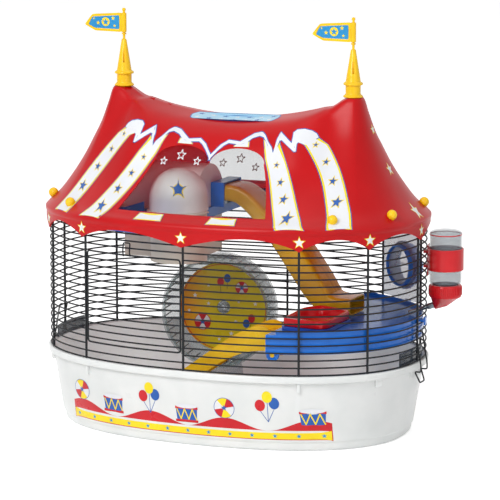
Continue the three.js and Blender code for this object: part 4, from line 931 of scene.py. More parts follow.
# ---- basin
@dataclass
class Basin:
    """The deep moulded tray and the printed film round it."""

    taper: float = 24
    plinth: float = 10.5
    floor: float = 4
    band: float = 9
    columns: int = 216
    film_half: float = 175
    strip: Pair = (14, 26)
    painted_glow_middle: float = 12

    def shell(self) -> Shape:
        """The tray, turned from its profile and pulled to the plan curve."""
        t, low = self.taper, PLAN.rim_top - self.band
        profile = rounded([(t + 60, 0), (t, 0), (t - 3, 3), (t - 4, self.plinth), (t - 6, self.plinth + 2),
                           (6, low), (0.5, low), (0, PLAN.rim_top - 1.5), (1, PLAN.rim_top),
                           (9, PLAN.rim_top), (9.5, PLAN.rim_top - 4), (t - 2.5, self.floor + 20),
                           (t + 3, self.floor + 4), (t + 9, self.floor), (t + 60, self.floor)], 1.6, False, 3)
        degrees = np.linspace(0, 360, self.columns, endpoint=False)
        sections = [[(*PLAN.rim(a, inset), z) for a in degrees] for inset, z in profile]
        sections = [[(0, 0, 0)] * self.columns, *sections, [(0, 0, self.floor)] * self.columns]
        return skin(sections, capped=False)

    def ribs(self) -> list[Shape]:
        """Short stiffening ribs under the rim's band and a pad at each end."""
        made = []
        for degrees, half, low in ((302.9, 1.6, 77), (237.1, 1.6, 77), (57.1, 1.6, 77), (122.9, 1.6, 77),
                                   (0, 16, 80), (180, 16, 80), (205, 4, 79), (335, 4, 79)):
            x, y = PLAN.rim(degrees, 6)
            rib = block((-5, 2.6), (-half, half), (low, PLAN.rim_top - self.band + 0.5))
            made.append(rib.turned(PLAN.heading(degrees)).moved(x, y))
        return made

    def build(self, bench: Bench) -> None:
        """Builds the tray and its prints."""
        shell = self.shell()
        tray = made_object("basin_tray", shell)
        for rib in self.ribs():
            worked(tray, rib, Joinery.ADD)
        bench.add(tray, BASIN_WHITE, "cage", "basin_plastic", ["basin"], sharp=40)
        # Marks the tray's inner faces for their painted glow.
        BASIN_WHITE.marked(tray, self.painted_glow_middle)
        film = Film(shell)
        for aim in (FRONT, BACK):
            self.hills(film, aim)
            self.toys(film, aim)
        film.finish(bench, "basin_print", "cage")

    def hills(self, film: Film, aim: Aim) -> None:
        """Red hills over a yellow strip with blue stars."""
        half, (low, high) = self.film_half, self.strip
        top = [(x, 33.6 + 7 * math.cos(math.tau * (abs(x) - 50) / 105)) for x in np.linspace(-half, half, 90)]
        film.lay(PRINT_RED, [[(-half, high - 1), (half, high - 1), *top[::-1]]], 0.1, aim)
        for edge, ink, height in ((1, PRINT_RED, 0.1), (0, PRINT_YELLOW, 0.18)):
            end, foot, head = half - 1 + edge, low - edge, high + edge
            film.lay(ink, [[(-end, foot), (end, foot), (end, head), (-end, head)]], height, aim)
        for x in np.linspace(-half + 9, half - 9, 13):
            film.lay(FLAG_BLUE, [star(3.1, (x, (low + high) / 2))], 0.26, aim, 3)

    def toys(self, film: Film, aim: Aim) -> None:
        """Balls, drums and balloons of the ring, standing on the hills."""
        for x, kind in ((-157, "ball"), (-105, "drum"), (-50, "balloons"), (0, "drum"), (50, "ball"),
                        (104, "balloons"), (155, "drum")):
            if kind == "ball":
                self.ball(film, aim, x, 53, 12.5)
            elif kind == "drum":
                self.drum(film, aim, x, 33 if x else 32)
            else:
                for dx, dz, ink in ((-9, 59, PRINT_RED), (8, 62, PRINT_BLUE), (0, 70, PRINT_YELLOW)):
                    film.lay(PRINT_BLUE, stroke([(x, 38), (x + dx, dz - 7)], 0.35), 0.2, aim)
                    film.lay(ink, [disc(6.2, (x + dx, dz), 24, 1.2)], 0.28 + 0.001 * dz, aim, 3)

    def ball(self, film: Film, aim: Aim, x: float, z: float, radius: float) -> None:
        """A striped ball."""
        film.lay(PRINT_BLUE, [disc(radius + 0.7, (x, z))], 0.2, aim, 3)
        inks = (PRINT_RED, PRINT_YELLOW, PRINT_WHITE)
        for i in range(6):
            wedge = [(x, z), *arc(radius, 60 * i + 12, 60 * i + 72, 8, (x, z))]
            film.lay(inks[i % 3], [wedge], 0.28, aim, 3)
        film.lay(PRINT_BLUE, [star(4.2, (x, z))], 0.36, aim, 3)

    def drum(self, film: Film, aim: Aim, x: float, z: float) -> None:
        """A drum with laced sides."""
        film.lay(PRINT_BLUE, [[(x - 13, z), (x + 13, z), (x + 14.5, z + 18), (x - 14.5, z + 18)]], 0.2, aim)
        zigzag = [(x - 13 + 5.2 * i, z + (2.5 if i % 2 else 15.5)) for i in range(6)]
        film.lay(PRINT_YELLOW, stroke(zigzag, 0.7), 0.28, aim, 3)
        for height in (z, z + 17):
            film.lay(PRINT_RED, [[(x - 15, height - 1.4), (x + 15, height - 1.4), (x + 15, height + 1.8),
                                  (x - 15, height + 1.8)]], 0.34, aim)
        film.lay(PRINT_WHITE, [disc(14.2, (x, z + 19.4), 28, 0.2)], 0.4, aim, 3)


# ---- wire wall and door
@dataclass
class WireWall:
    """The welded wall: rings of wire on twelve posts, open behind the door and the port."""

    ring_radius: float = 1
    post_radius: float = 1.5
    door_bay: int = 8
    port_bay: int = 1
    door_rings: tuple[int, int] = (3, 14)

    def stretch(self, first: float, last: float, count: int) -> tuple[list[Triple], list[tuple[int, int]]]:
        """Points and edges of the wall's line between two angles. A full turn closes on itself."""
        whole = abs(last - first - 360) < 1e-6
        angles = np.linspace(first, last, count, endpoint=not whole)
        points = [(*PLAN.wire(a), 0) for a in angles]
        edges = [(i, i + 1) for i in range(len(points) - 1)]
        return points, edges + [(len(points) - 1, 0)] if whole else edges

    def build(self, bench: Bench) -> None:
        """Builds the wall and the door."""
        rows, rods = wire_rows(), rods_on_points()
        coat = WIRE_BLACK.material()
        door = (PLAN.posts[self.door_bay], PLAN.posts[self.door_bay + 1])
        port = (PLAN.posts[self.port_bay], PLAN.posts[self.port_bay + 1])
        stretches = [((0, 360), 0, 2), ((0, 360), 16, 3), ((door[1], door[0] + 360), 2, 4),
                     ((port[1], door[0]), 6, 10), ((door[1], port[0] + 360), 6, 10)]
        parts = []
        for (first, last), ring, count in stretches:
            points, edges = self.stretch(first, last, int(abs(last - first) / 2.5) + 2)
            parts.append(rows.run("rings", points, edges, count=count, start=PLAN.ring_z(ring) * MM,
                                  pitch=PLAN.pitch * MM, radius=self.ring_radius * MM, sides=8, finish=coat))
        low, high = PLAN.rim_top + 0.3, PLAN.post_top
        feet = [(*PLAN.wire(a), (low + high) / 2) for a in PLAN.posts]
        parts.append(rods.run("posts", feet, height=(high - low) * MM, radius=self.post_radius * MM, sides=12,
                              finish=coat))
        names = [n for n in bench.nodes if n.startswith("wire_")]
        bench.add(joined("wire_wall", *parts), WIRE_BLACK, "cage", "black_wire", names, sharp=60)
        self.door(bench, rows)

    def door(self, bench: Bench, rows: Repeater) -> None:
        """The front door: a bent frame, its cross wires and its latch loop."""
        margin = self.post_radius + 1.1 + 1
        a = PLAN.inside_bay(self.door_bay, margin, False)
        b = PLAN.inside_bay(self.door_bay, margin, True)
        low = PLAN.ring_z(2) + 2 * self.ring_radius + 0.7
        high = PLAN.ring_z(self.door_rings[1] + 1)
        angles = np.linspace(a, b, 12)
        lower = [(*PLAN.wire(t), low) for t in angles]
        upper = [(*PLAN.wire(t), high) for t in angles]
        loop = rounded([*lower, *upper[::-1]], 4, True, 3)
        parts = [made_object("frame", wire([*loop, loop[0]], 1.1, 10))]
        first, last = self.door_rings
        points, edges = self.stretch(a, b, 14)
        parts.append(rows.run("bars", points, edges, count=last - first + 1, start=PLAN.ring_z(first) * MM,
                              pitch=PLAN.pitch * MM, radius=self.ring_radius * MM, sides=8,
                              finish=WIRE_BLACK.material()))
        x, y = PLAN.wire(lerp(a, b, 0.52))
        latch = rounded([(x + dx, y - dy, high + dz) for dx, dy, dz in (
            (-4.5, 1.2, -1), (-4.5, 3.2, 5), (-3.5, 3.2, 16), (5.5, 3.2, 16), (4.5, 3.2, 5), (4.5, 1.2, -1))],
                        2.2, False)
        parts.append(made_object("latch", wire(latch, 0.9, 8)))
        bench.add(joined("front_door_wires", *parts), WIRE_BLACK, "door", "black_wire", ["front_door"],
                  sharp=60)


def carried(obj: Object, matrix: Matrix) -> Object:
    """The object with its mesh moved by a placement in millimetres."""
    metres = matrix.copy()
    metres.translation *= MM
    obj.data.transform(metres)
    return obj


def shape_of(obj: Object) -> Shape:
    """A mesh object as a shape. The object is removed."""
    points = np.array([tuple(v.co) for v in obj.data.vertices]) / MM
    faces = [tuple(p.vertices) for p in obj.data.polygons]
    bpy.data.objects.remove(obj)
    return Shape(points, faces)


def flat_print(outlines: Sequence[Outline], height: float, step: float = 6) -> Shape:
    """Outlines as one flat sheet that faces up at a height."""
    spots, triangles = patch(outlines, step)
    return Shape(np.array([(u, v, height) for u, v in spots]), triangles)


def facing(x: float, y: float, z: float, degrees: float) -> Matrix:
    """A frame whose Z points level out of the cage. Degrees turn it from the front, about the upright."""
    return (Matrix.Translation((x, y, z)) @ Matrix.Rotation(math.radians(degrees), 4, "Z")
            @ Matrix.Rotation(math.pi / 2, 4, "X"))


# ---- tent roof
@dataclass
class TentRoof:
    """The moulded tent: scalloped skirt, two peaks, arched windows, printed stripes and balloon studs."""

    half_length: float = 248
    half_depth: float = 171.5
    wall: float = 2.2
    shoulder: float = 275.02
    skirt_tip: float = 250.52
    skirt_crest: float = 265.02
    fold: float = 5
    ridge: float = 392.02
    sag: float = 17
    peak_x: float = 156
    peak_z: float = 422.02
    hip_run: float = 43
    side: tuple[Pair, ...] = ((0, 0), (0.02, 0.035), (0.12, 0.1), (0.31, 0.3), (0.43, 0.47), (0.515, 0.64),
                              (0.58, 0.77), (0.66, 0.88), (0.78, 0.96), (1, 1))
    end: tuple[Pair, ...] = ((0, 0), (0.05, 0.035), (0.2, 0.13), (0.365, 0.28), (0.505, 0.43), (0.62, 0.58),
                             (0.715, 0.71), (0.8, 0.87), (0.872, 1), (1, 1))
    bay_columns: int = 20
    slope_rows: int = 54
    window_bottom: float = 99
    window_top: float = 73
    sill: float = 12
    spring: float = 69
    valley: float = 68
    arch_rise: float = 18
    pane_sheet: float = 1.55
    pane_gap: float = 0.45
    pane_lap: float = 4
    cutouts: tuple[Pair, Pair] = ((-116, 6.5), (-92, 4.5))
    spire_bore: float = 5.3
    studs_at: tuple[float, ...] = (46, 134, 226, 314, 18, 162, 198, 342)
    stud_row: int = 17
    painted_glow_middle: float = 240

    def angles(self) -> np.ndarray:
        """Column angles in degrees, at the posts and at even steps between them."""
        bounds = (*PLAN.posts, 360)
        return np.concatenate([np.linspace(a, b, self.bay_columns, endpoint=False)
                               for a, b in zip(bounds, bounds[1:])])

    def ridge_height(self, x: np.ndarray) -> np.ndarray:
        """The ridge's height along the roof."""
        low = self.ridge + self.sag * np.minimum(1, np.abs(x) / (self.peak_x - 36)) ** 2
        return low + (self.peak_z - low) * smooth(self.peak_x - 32, self.peak_x - 5, np.abs(x))

    def surface(self, depth: float) -> list[list[Triple]]:
        """Rings of the roof from the skirt's edge to the ridge, a depth inside the outer surface."""
        angles = self.angles()
        outer = np.array([PLAN.oval(a, self.half_length - depth, self.half_depth - depth) for a in angles])
        tucked = np.array([PLAN.oval(a, self.half_length - depth - 0.8, self.half_depth - depth - 0.8)
                           for a in angles])
        share = np.tile(np.arange(self.bay_columns) / self.bay_columns, 12)
        edge = self.skirt_tip + (self.skirt_crest - self.skirt_tip) * np.sin(np.pi * share) ** 0.8
        shoulder = self.shoulder - 0.5 * depth
        top = shoulder - self.fold
        rings = [np.column_stack((tucked, edge + (top - edge) * t)) for t in np.linspace(0, 1, 6)]
        rings += [np.column_stack((outer, np.full(len(angles), z))) for z in (top + 1, shoulder - 1.2)]
        ridge_x = self.peak_x * np.clip(outer[:, 0] / (self.half_length - self.hip_run), -1, 1)
        ridge_z = self.ridge_height(ridge_x) - 1.15 * depth
        end = smooth(self.peak_x - 66, self.peak_x - 8, np.abs(ridge_x))
        for row in np.linspace(0, len(self.side) - 1, self.slope_rows):
            pairs = [spline(table, np.array(row)) for table in (self.side, self.end)]
            inward = np.minimum(pairs[0][0] + (pairs[1][0] - pairs[0][0]) * end, 1)
            upward = np.minimum(pairs[0][1] + (pairs[1][1] - pairs[0][1]) * end, 1)
            rings.append(np.column_stack((outer[:, 0] + (ridge_x - outer[:, 0]) * inward,
                                          outer[:, 1] * (1 - inward),
                                          shoulder + (ridge_z - shoulder) * upward)))
        return [[tuple(p) for p in ring] for ring in rings]

    def shell(self, depth: float, sheet: float) -> Shape:
        """A closed sheet between two depths."""
        return skin([*self.surface(depth)[::-1], *self.surface(depth + sheet)], capped=False)

    def under(self, depth: float) -> Shape:
        """Everything under the surface, closed by a flat middle point below."""
        rings = self.surface(depth)
        return skin([[(0, 0, self.skirt_tip)] * len(rings[0]), *rings], capped=False)

    def window(self, margin: float) -> list[Pair]:
        """The double-arched outline, grown by a margin."""
        low, spring, valley = (self.shoulder + v for v in (self.sill, self.spring, self.valley))
        arch = [(self.window_top / 2 * (1 + math.cos(math.pi * t)) + 0.5,
                 lerp(spring, valley, t) + margin + self.arch_rise * math.sin(math.pi * t))
                for t in np.linspace(0, 1, 22)[1:-1]]
        right = [(self.window_bottom + margin * 1.3, low - margin), (self.window_top + margin, spring), *arch]
        return [*right, (0, valley + margin), *((-x, z) for x, z in reversed(right))]

    def build(self, bench: Bench) -> None:
        """Builds the roof, its panes, studs and prints."""
        roof = made_object("tent_shell", self.shell(0, self.wall))
        sides = ((-180, -20), (20, 180))
        for near, far in sides:
            worked(roof, side_prism(self.window(0), near, far))
        for x, radius in self.cutouts:
            worked(roof, prism([(x + u, v) for u, v in star(radius)], self.ridge - 12, self.peak_z + 8))
        for side in (-1, 1):
            round_hole = disc(self.spire_bore, (side * self.peak_x, 0), 32)
            worked(roof, prism(round_hole, self.peak_z - 20, self.peak_z + 5))
        bench.add(roof, TENT_RED, "tent_roof", "roof_red", ["roof"], sharp=40)
        # Marks the roof's inner faces for their painted glow.
        TENT_RED.marked(roof, self.painted_glow_middle)
        bench.add(self.lugs(), TENT_RED, "tent_roof", "roof_red", sharp=40)
        panes = made_object("window_panes", self.shell(self.wall + self.pane_gap, self.pane_sheet))
        lapped = self.window(self.pane_lap)
        worked(panes, gathered([side_prism(lapped, near, far) for near, far in sides]), Joinery.KEEP)
        bench.add(panes, PANE, "tent_roof", "pane_plastic", ["pane_front", "pane_back"], sharp=40)
        self.studs(bench)
        RoofPrints(self).build(bench)

    def lugs(self) -> Object:
        """Ribs inside the skirt that rest on the tops of the posts."""
        shapes = []
        for degrees in PLAN.posts:
            x, y = PLAN.wire(degrees)
            rib = block((-6, 8.5), (-1.6, 1.6), (PLAN.post_top + 0.3, self.shoulder + 24))
            shapes.append(rib.turned(PLAN.heading(degrees)).moved(x, y))
        lugs = made_object("seat_ribs", gathered(shapes))
        return worked(lugs, self.under(self.wall * 0.6), Joinery.KEEP)

    def studs(self, bench: Bench) -> None:
        """Balloon studs: a round head and a short tail, set on the slope."""
        head = [(0, 6.4), *((6.2 * math.sin(t), 6.2 * math.cos(t)) for t in np.linspace(0.12, 2.5, 16)),
                (2.6, -6.2), (2.2, -7.5), (2.6, -8.6), (1.4, -10), (0, -10)]
        shapes, rings = [], self.surface(0)
        for degrees in self.studs_at:
            column = int(np.argmin(np.abs(self.angles() - degrees)))
            x, y, z = rings[self.stud_row][column]
            shapes.append(lathe(head, 32).moved(x * 1.012, y * 1.012, z + 2))
        studs = made_object("balloon_studs", gathered(shapes))
        worked(studs, self.under(-0.3))
        names = [n for n in bench.nodes if n.startswith("stud_")]
        bench.add(studs, YELLOW, "tent_roof", "yellow_plastic", names, sharp=50)


@dataclass
class RoofPrints:
    """The printed stripes, swags and stars of the tent, with star outlines on the panes in painted light and
    shade.
    """

    roof: TentRoof
    skirt_star: float = 262.3
    outer_line: tuple[Pair, ...] = ((186.7, 276.6), (171, 305), (159, 327), (145, 349), (130, 368.5),
                                    (116, 383))
    inner_line: tuple[Pair, ...] = ((134, 276.6), (124, 287.5), (111, 307), (100.5, 325), (89.5, 345),
                                    (72, 376))
    crown: tuple[tuple[Pair, ...], ...] = (
        ((130.5, 377), (127.5, 381.3), (122, 384.6), (113, 386.7), (104.5, 385.8), (101, 382.5),
         (102.3, 370.5), (107.3, 361), (109.5, 361.2), (108.6, 370), (112, 374.5), (120, 377.5),
         (127.6, 375)),
        ((102.3, 370.5), (89, 379.3), (84.3, 382.2), (83.2, 379), (86, 372.5), (88.5, 373.4), (107.3, 361),
         (109.5, 361.2), (104, 372)),
        ((84.3, 382.2), (82, 374), (81.3, 358), (83.2, 357), (85.8, 371.5)),
        ((81.3, 358), (78, 364.5), (71.5, 370.5), (65, 377.8), (60, 380.7), (58, 376.6), (64, 375.2),
         (79.5, 357)),
        ((60, 380.7), (57.7, 380.8), (49.5, 378.8), (41.7, 373.8), (34.5, 369), (27.5, 369.6), (19, 370.2),
         (10, 364.5), (5, 358.5), (-1, 351.5), (-1, 346), (8, 357.5), (15, 364), (20, 366.6), (28, 366.2),
         (34.8, 365.8), (44, 369), (49.5, 373.6), (58, 376.6)))

    def stripe(self, line: Outline, halves: Sequence[float], end: Outline,
               inset: float, stop: float) -> list[Pair]:
        """A stripe's outline along its middle line.

        Args:
            line: middle points from the shoulder upwards.
            halves: half widths in X at the first and the last point.
            end: outline points of the top, left to right.
            inset: how far the sides are drawn in.
            stop: the height where the sides give way to the top.
        """
        at = np.linspace(0, len(line) - 1, 26)
        xs, zs = spline(line, at)
        half = np.linspace(halves[0], halves[1], len(at)) - inset
        zs = np.maximum(zs, self.roof.shoulder + 1.5 + 0.4 * inset)
        rising = [(x + h, z) for x, h, z in zip(xs, half, zs) if z < stop]
        falling = [(x - h, z) for x, h, z in zip(xs, half, zs) if z < stop][::-1]
        return [*rising, *reversed(end), *falling]

    def build(self, bench: Bench) -> None:
        """Prints both long sides, both ends, the skirt and the panes; the panes' star outlines are painted
        light and shade.
        """
        film = Film(skin(self.roof.surface(0), capped=False))
        for aim in (FRONT, BACK):
            self.stripes(film, aim)
            self.window_edge(film, aim)
            self.scallops(film, (0, 1, 2, 4, 5, 6) if aim is BACK else (7, 8, 9, 10, 11))
        for aim, side in ((RIGHT, 1), (LEFT, -1)):
            for x, z, radius in ((4, 383, 5), (4, 335, 6.5), (4, 285, 8.5), (0, self.skirt_star, 6.3)):
                film.starred((x * side, z), radius, aim, PRINT_YELLOW, PRINT_WHITE, 0.1)
        self.banner(film)
        film.finish(bench, "roof_print", "tent_roof")
        self.paint_light_on_pane_stars(bench)

    def stripes(self, film: Film, aim: Aim) -> None:
        """Four white stripes edged in yellow and blue, with blue stars up each."""
        layers = ((0, PRINT_BLUE, 0.1, [(105.6, 373), (112, 379), (120, 382), (130.8, 377.5)],
                   [(62.6, 375.8), (66, 374), (78, 356), (83, 356), (84.5, 373), (86.8, 372.5)]),
                  (1, PRINT_YELLOW, 0.18, [(106.6, 373), (112, 378), (120, 381), (129.8, 377)],
                   [(63.6, 375.6), (66, 373), (78, 355), (83, 355), (84.5, 372), (85.8, 372)]),
                  (3, PRINT_WHITE, 0.4, [(108.6, 372), (114, 376), (120, 378), (127.6, 375.4)],
                   [(66.4, 371.8), (68, 371), (79, 359), (83, 359), (83.4, 366), (83.9, 368)]))
        for inset, ink, height, top, horn in layers:
            shapes = [self.stripe(self.outer_line, (13.6, 12.6), top, inset, 371),
                      self.stripe(self.inner_line, (17.2, 13.4), horn, inset, 355)]
            film.lay(ink, mirrored(shapes), height, aim, 2.5)
        for outline in self.crown:
            border = mirrored(stroke([*outline, outline[0]], 0.9))
            film.lay(PRINT_BLUE, border, 0.24, aim, 3)
        film.lay(PRINT_WHITE, mirrored(self.crown), 0.42, aim, 3)
        for x, z, radius in ((171, 305, 6.6), (158.6, 327.6, 4.9), (145, 349, 3.9), (129.5, 368.6, 2.8),
                             (124, 288.5, 7.2), (111, 308, 5.4), (100.2, 326, 4.3), (89.5, 345, 3.4)):
            for side in (-1, 1):
                film.starred((side * x, z), radius * 0.94, aim, PRINT_YELLOW, PRINT_BLUE, 0.5)

    def window_edge(self, film: Film, aim: Aim) -> None:
        """Short white bars above the arches and below the sill."""
        for inset, ink, height in ((0, PRINT_BLUE, 0.1), (0.7, PRINT_YELLOW, 0.18), (2, PRINT_WHITE, 0.26)):
            low, high = 279.7 + 0.45 * inset, 286.7 - 0.5 * inset
            under = [(29 + inset, low), (68 - inset, low), (65 - inset, high), (31 + inset, high)]
            over = [(27 + inset, 363 + 0.1 * inset), (48.6 - inset, 363.6 + 0.1 * inset), (47 - inset, 370.8),
                    (40, 367.4), (34.7, 365.9), (28.6 + inset, 366.4)]
            film.lay(ink, mirrored([under, over]), height, aim, 2.5)

    def scallops(self, film: Film, posts: Sequence[int]) -> None:
        """A star on each point of the skirt along the sides."""
        for post in posts:
            x, y = PLAN.wire(PLAN.posts[post])
            if abs(y) > 20:
                heading = math.radians(PLAN.heading(PLAN.posts[post]))
                own = Aim.outside(x, y, Vector((math.cos(heading), math.sin(heading), 0)))
                film.starred((0, self.skirt_star), 6.3, own, PRINT_YELLOW, PRINT_WHITE, 0.1)

    def banner(self, film: Film) -> None:
        """A pale band along the ridge with a row of stars."""
        for inset, ink in ((0.0, PRINT_BLUE), (1.3, PRINT_SKY)):
            left, right, near, far = -54 + inset, 66 - inset, -34 + 0.3 * inset, -2 - inset
            middle = (near + far) / 2
            band = rounded([(left + 4, near), (right - 4, near), (right, middle), (right - 4, far),
                            (left + 4, far), (left, middle)], 5)
            film.lay(ink, [band], 0.1 + 0.06 * inset, ABOVE)
        for i, x in enumerate(np.linspace(-43, 55, 7)):
            for y in (-26, -11):
                ink = PRINT_BLUE if (i + (y > -20)) % 2 else PRINT_WHITE
                film.lay(ink, [star(4.6, (x, y))], 0.26, ABOVE, 3)

    def paint_light_on_pane_stars(self, bench: Bench) -> None:
        """Star outlines on the panes, coloured as painted light and shade: white on the left for light
        shining through star slots behind them, brown on the right where they show dark against the light
        behind.
        """
        film = Film(skin(self.roof.surface(self.roof.wall + self.roof.pane_gap), capped=False))
        spots = ((-62, 342, 4.6), (-40, 350, 6), (-17, 344, 4.8),
                 (62, 341, 4.6), (40, 350, 5.6), (18, 344, 4.8))
        for aim in (FRONT, BACK):
            for x, z, radius in spots:
                # White outlines are painted light, brown ones painted shade.
                ink = PRINT_WHITE if x < 0 else PRINT_BROWN
                outline = star(radius, (x, z))
                film.lay(ink, stroke([*outline, outline[0]], 0.5), 0.1, aim, 3)
        film.finish(bench, "pane_print", "tent_roof")


# ---- spires and flags
@dataclass
class SpiresAndFlags:
    """The two turned spires and the flags that turn on their poles."""

    peak_x: float = 156
    peak_z: float = 422.02
    turned: tuple[Pair, ...] = (
        (0, -6.7), (5, -6.7), (5, 0.3), (11.8, 0.3), (12.6, 1.2), (12.2, 2), (9.8, 4.2), (9.4, 5.2),
        (9.4, 14.8), (11.9, 15.8), (12.2, 16.6), (12.2, 17.4), (11.8, 18.2), (9.6, 19.6), (9.2, 21),
        (3.2, 58.4), (2.6, 59.3), (1.6, 59.6), (1.6, 65), (2.8, 65.2), (3, 65.7), (3, 66.7), (2.7, 67.1),
        (1.6, 67.2), (1.6, 95), (2.2, 95.6), (2.4, 96.4), (2.3, 97.6), (1.4, 98.7), (0, 99))
    low: float = 490.02
    high: float = 514.52
    reach: float = 55

    def outline(self, inset: float) -> list[Pair]:
        """The pennant's outline beside its pole, drawn in by an inset."""
        return [(-3 - inset, self.low + inset), (-40, self.low + 0.5 + inset),
                (-self.reach + inset * 1.6, self.low + 8), (-44, self.high - 3 - inset),
                (-3 - inset, self.high - inset)]

    def build(self, bench: Bench) -> None:
        """Builds both spires and both flags."""
        for side, x in (("left", -self.peak_x), ("right", self.peak_x)):
            spire = made_object(f"turned_spire_{side}", lathe(self.turned, 48).moved(x, 0, self.peak_z))
            for turn in (22, 112, 202, 292):
                slot = prism(rounded([(4.5, -1.1), (12, -1.1), (12, 1.1), (4.5, 1.1)], 1), 30, 44)
                worked(spire, slot.turned(turn).moved(x, 0, self.peak_z))
            bench.add(spire, YELLOW, "tent_roof", "yellow_plastic", [f"spire_{side}"], sharp=40)
            self.flag(bench, side, x)

    def flag(self, bench: Bench, side: str, x: float) -> None:
        """A frame with its sleeve, a panel set in it, and stars on both faces."""
        height = self.high - self.low
        sleeve = lathe([(1.69, 0), (2.7, 0), (3.3, 0.6), (3.3, height - 0.6), (2.7, height), (1.69, height),
                        (1.69, 0)], 32).moved(0, 0, self.low)
        frame = made_object(f"pennant_frame_{side}", sleeve)
        plate = [(min(px, -2.6), pz) for px, pz in rounded(self.outline(0), 2.5)]
        ring = made_object("ring", side_prism(plate, -0.9, 0.9))
        worked(ring, side_prism(rounded(self.outline(3.2), 2), -2, 2))
        worked(frame, shape_of(ring), Joinery.ADD)
        carried(frame, Matrix.Translation((x, 0, 0)))
        bench.add(frame, YELLOW, f"{side}_flag", "yellow_plastic", [f"flag_frame_{side}"], bevel=0.25)
        panel_shape = side_prism(rounded(self.outline(3.5), 1.8), -0.6, 0.6).moved(x)
        panel = made_object(f"pennant_panel_{side}", panel_shape)
        bench.add(panel, FLAG_BLUE, f"{side}_flag", "blue_plastic", [f"flag_panel_{side}"], bevel=0.15)
        film = Film(panel_shape)
        for aim, mirror in ((FRONT, 1), (BACK, -1)):
            for u, v, radius in ((-36, 10.5, 3), (-15, 17, 3), (-13, 7.5, 2.2), (-42, 16, 1.6)):
                film.lay(PRINT_YELLOW, [star(radius, (mirror * (x + u), self.low + v))], 0.08, aim, 3)
            film.lay(PRINT_YELLOW, [disc(5.6, (mirror * (x - 25.5), self.low + 12.2))], 0.08, aim, 3)
            film.lay(FLAG_BLUE, [star(4.9, (mirror * (x - 25.5), self.low + 12))], 0.14, aim, 3)
        film.finish(bench, f"flag_print_{side}", f"{side}_flag")


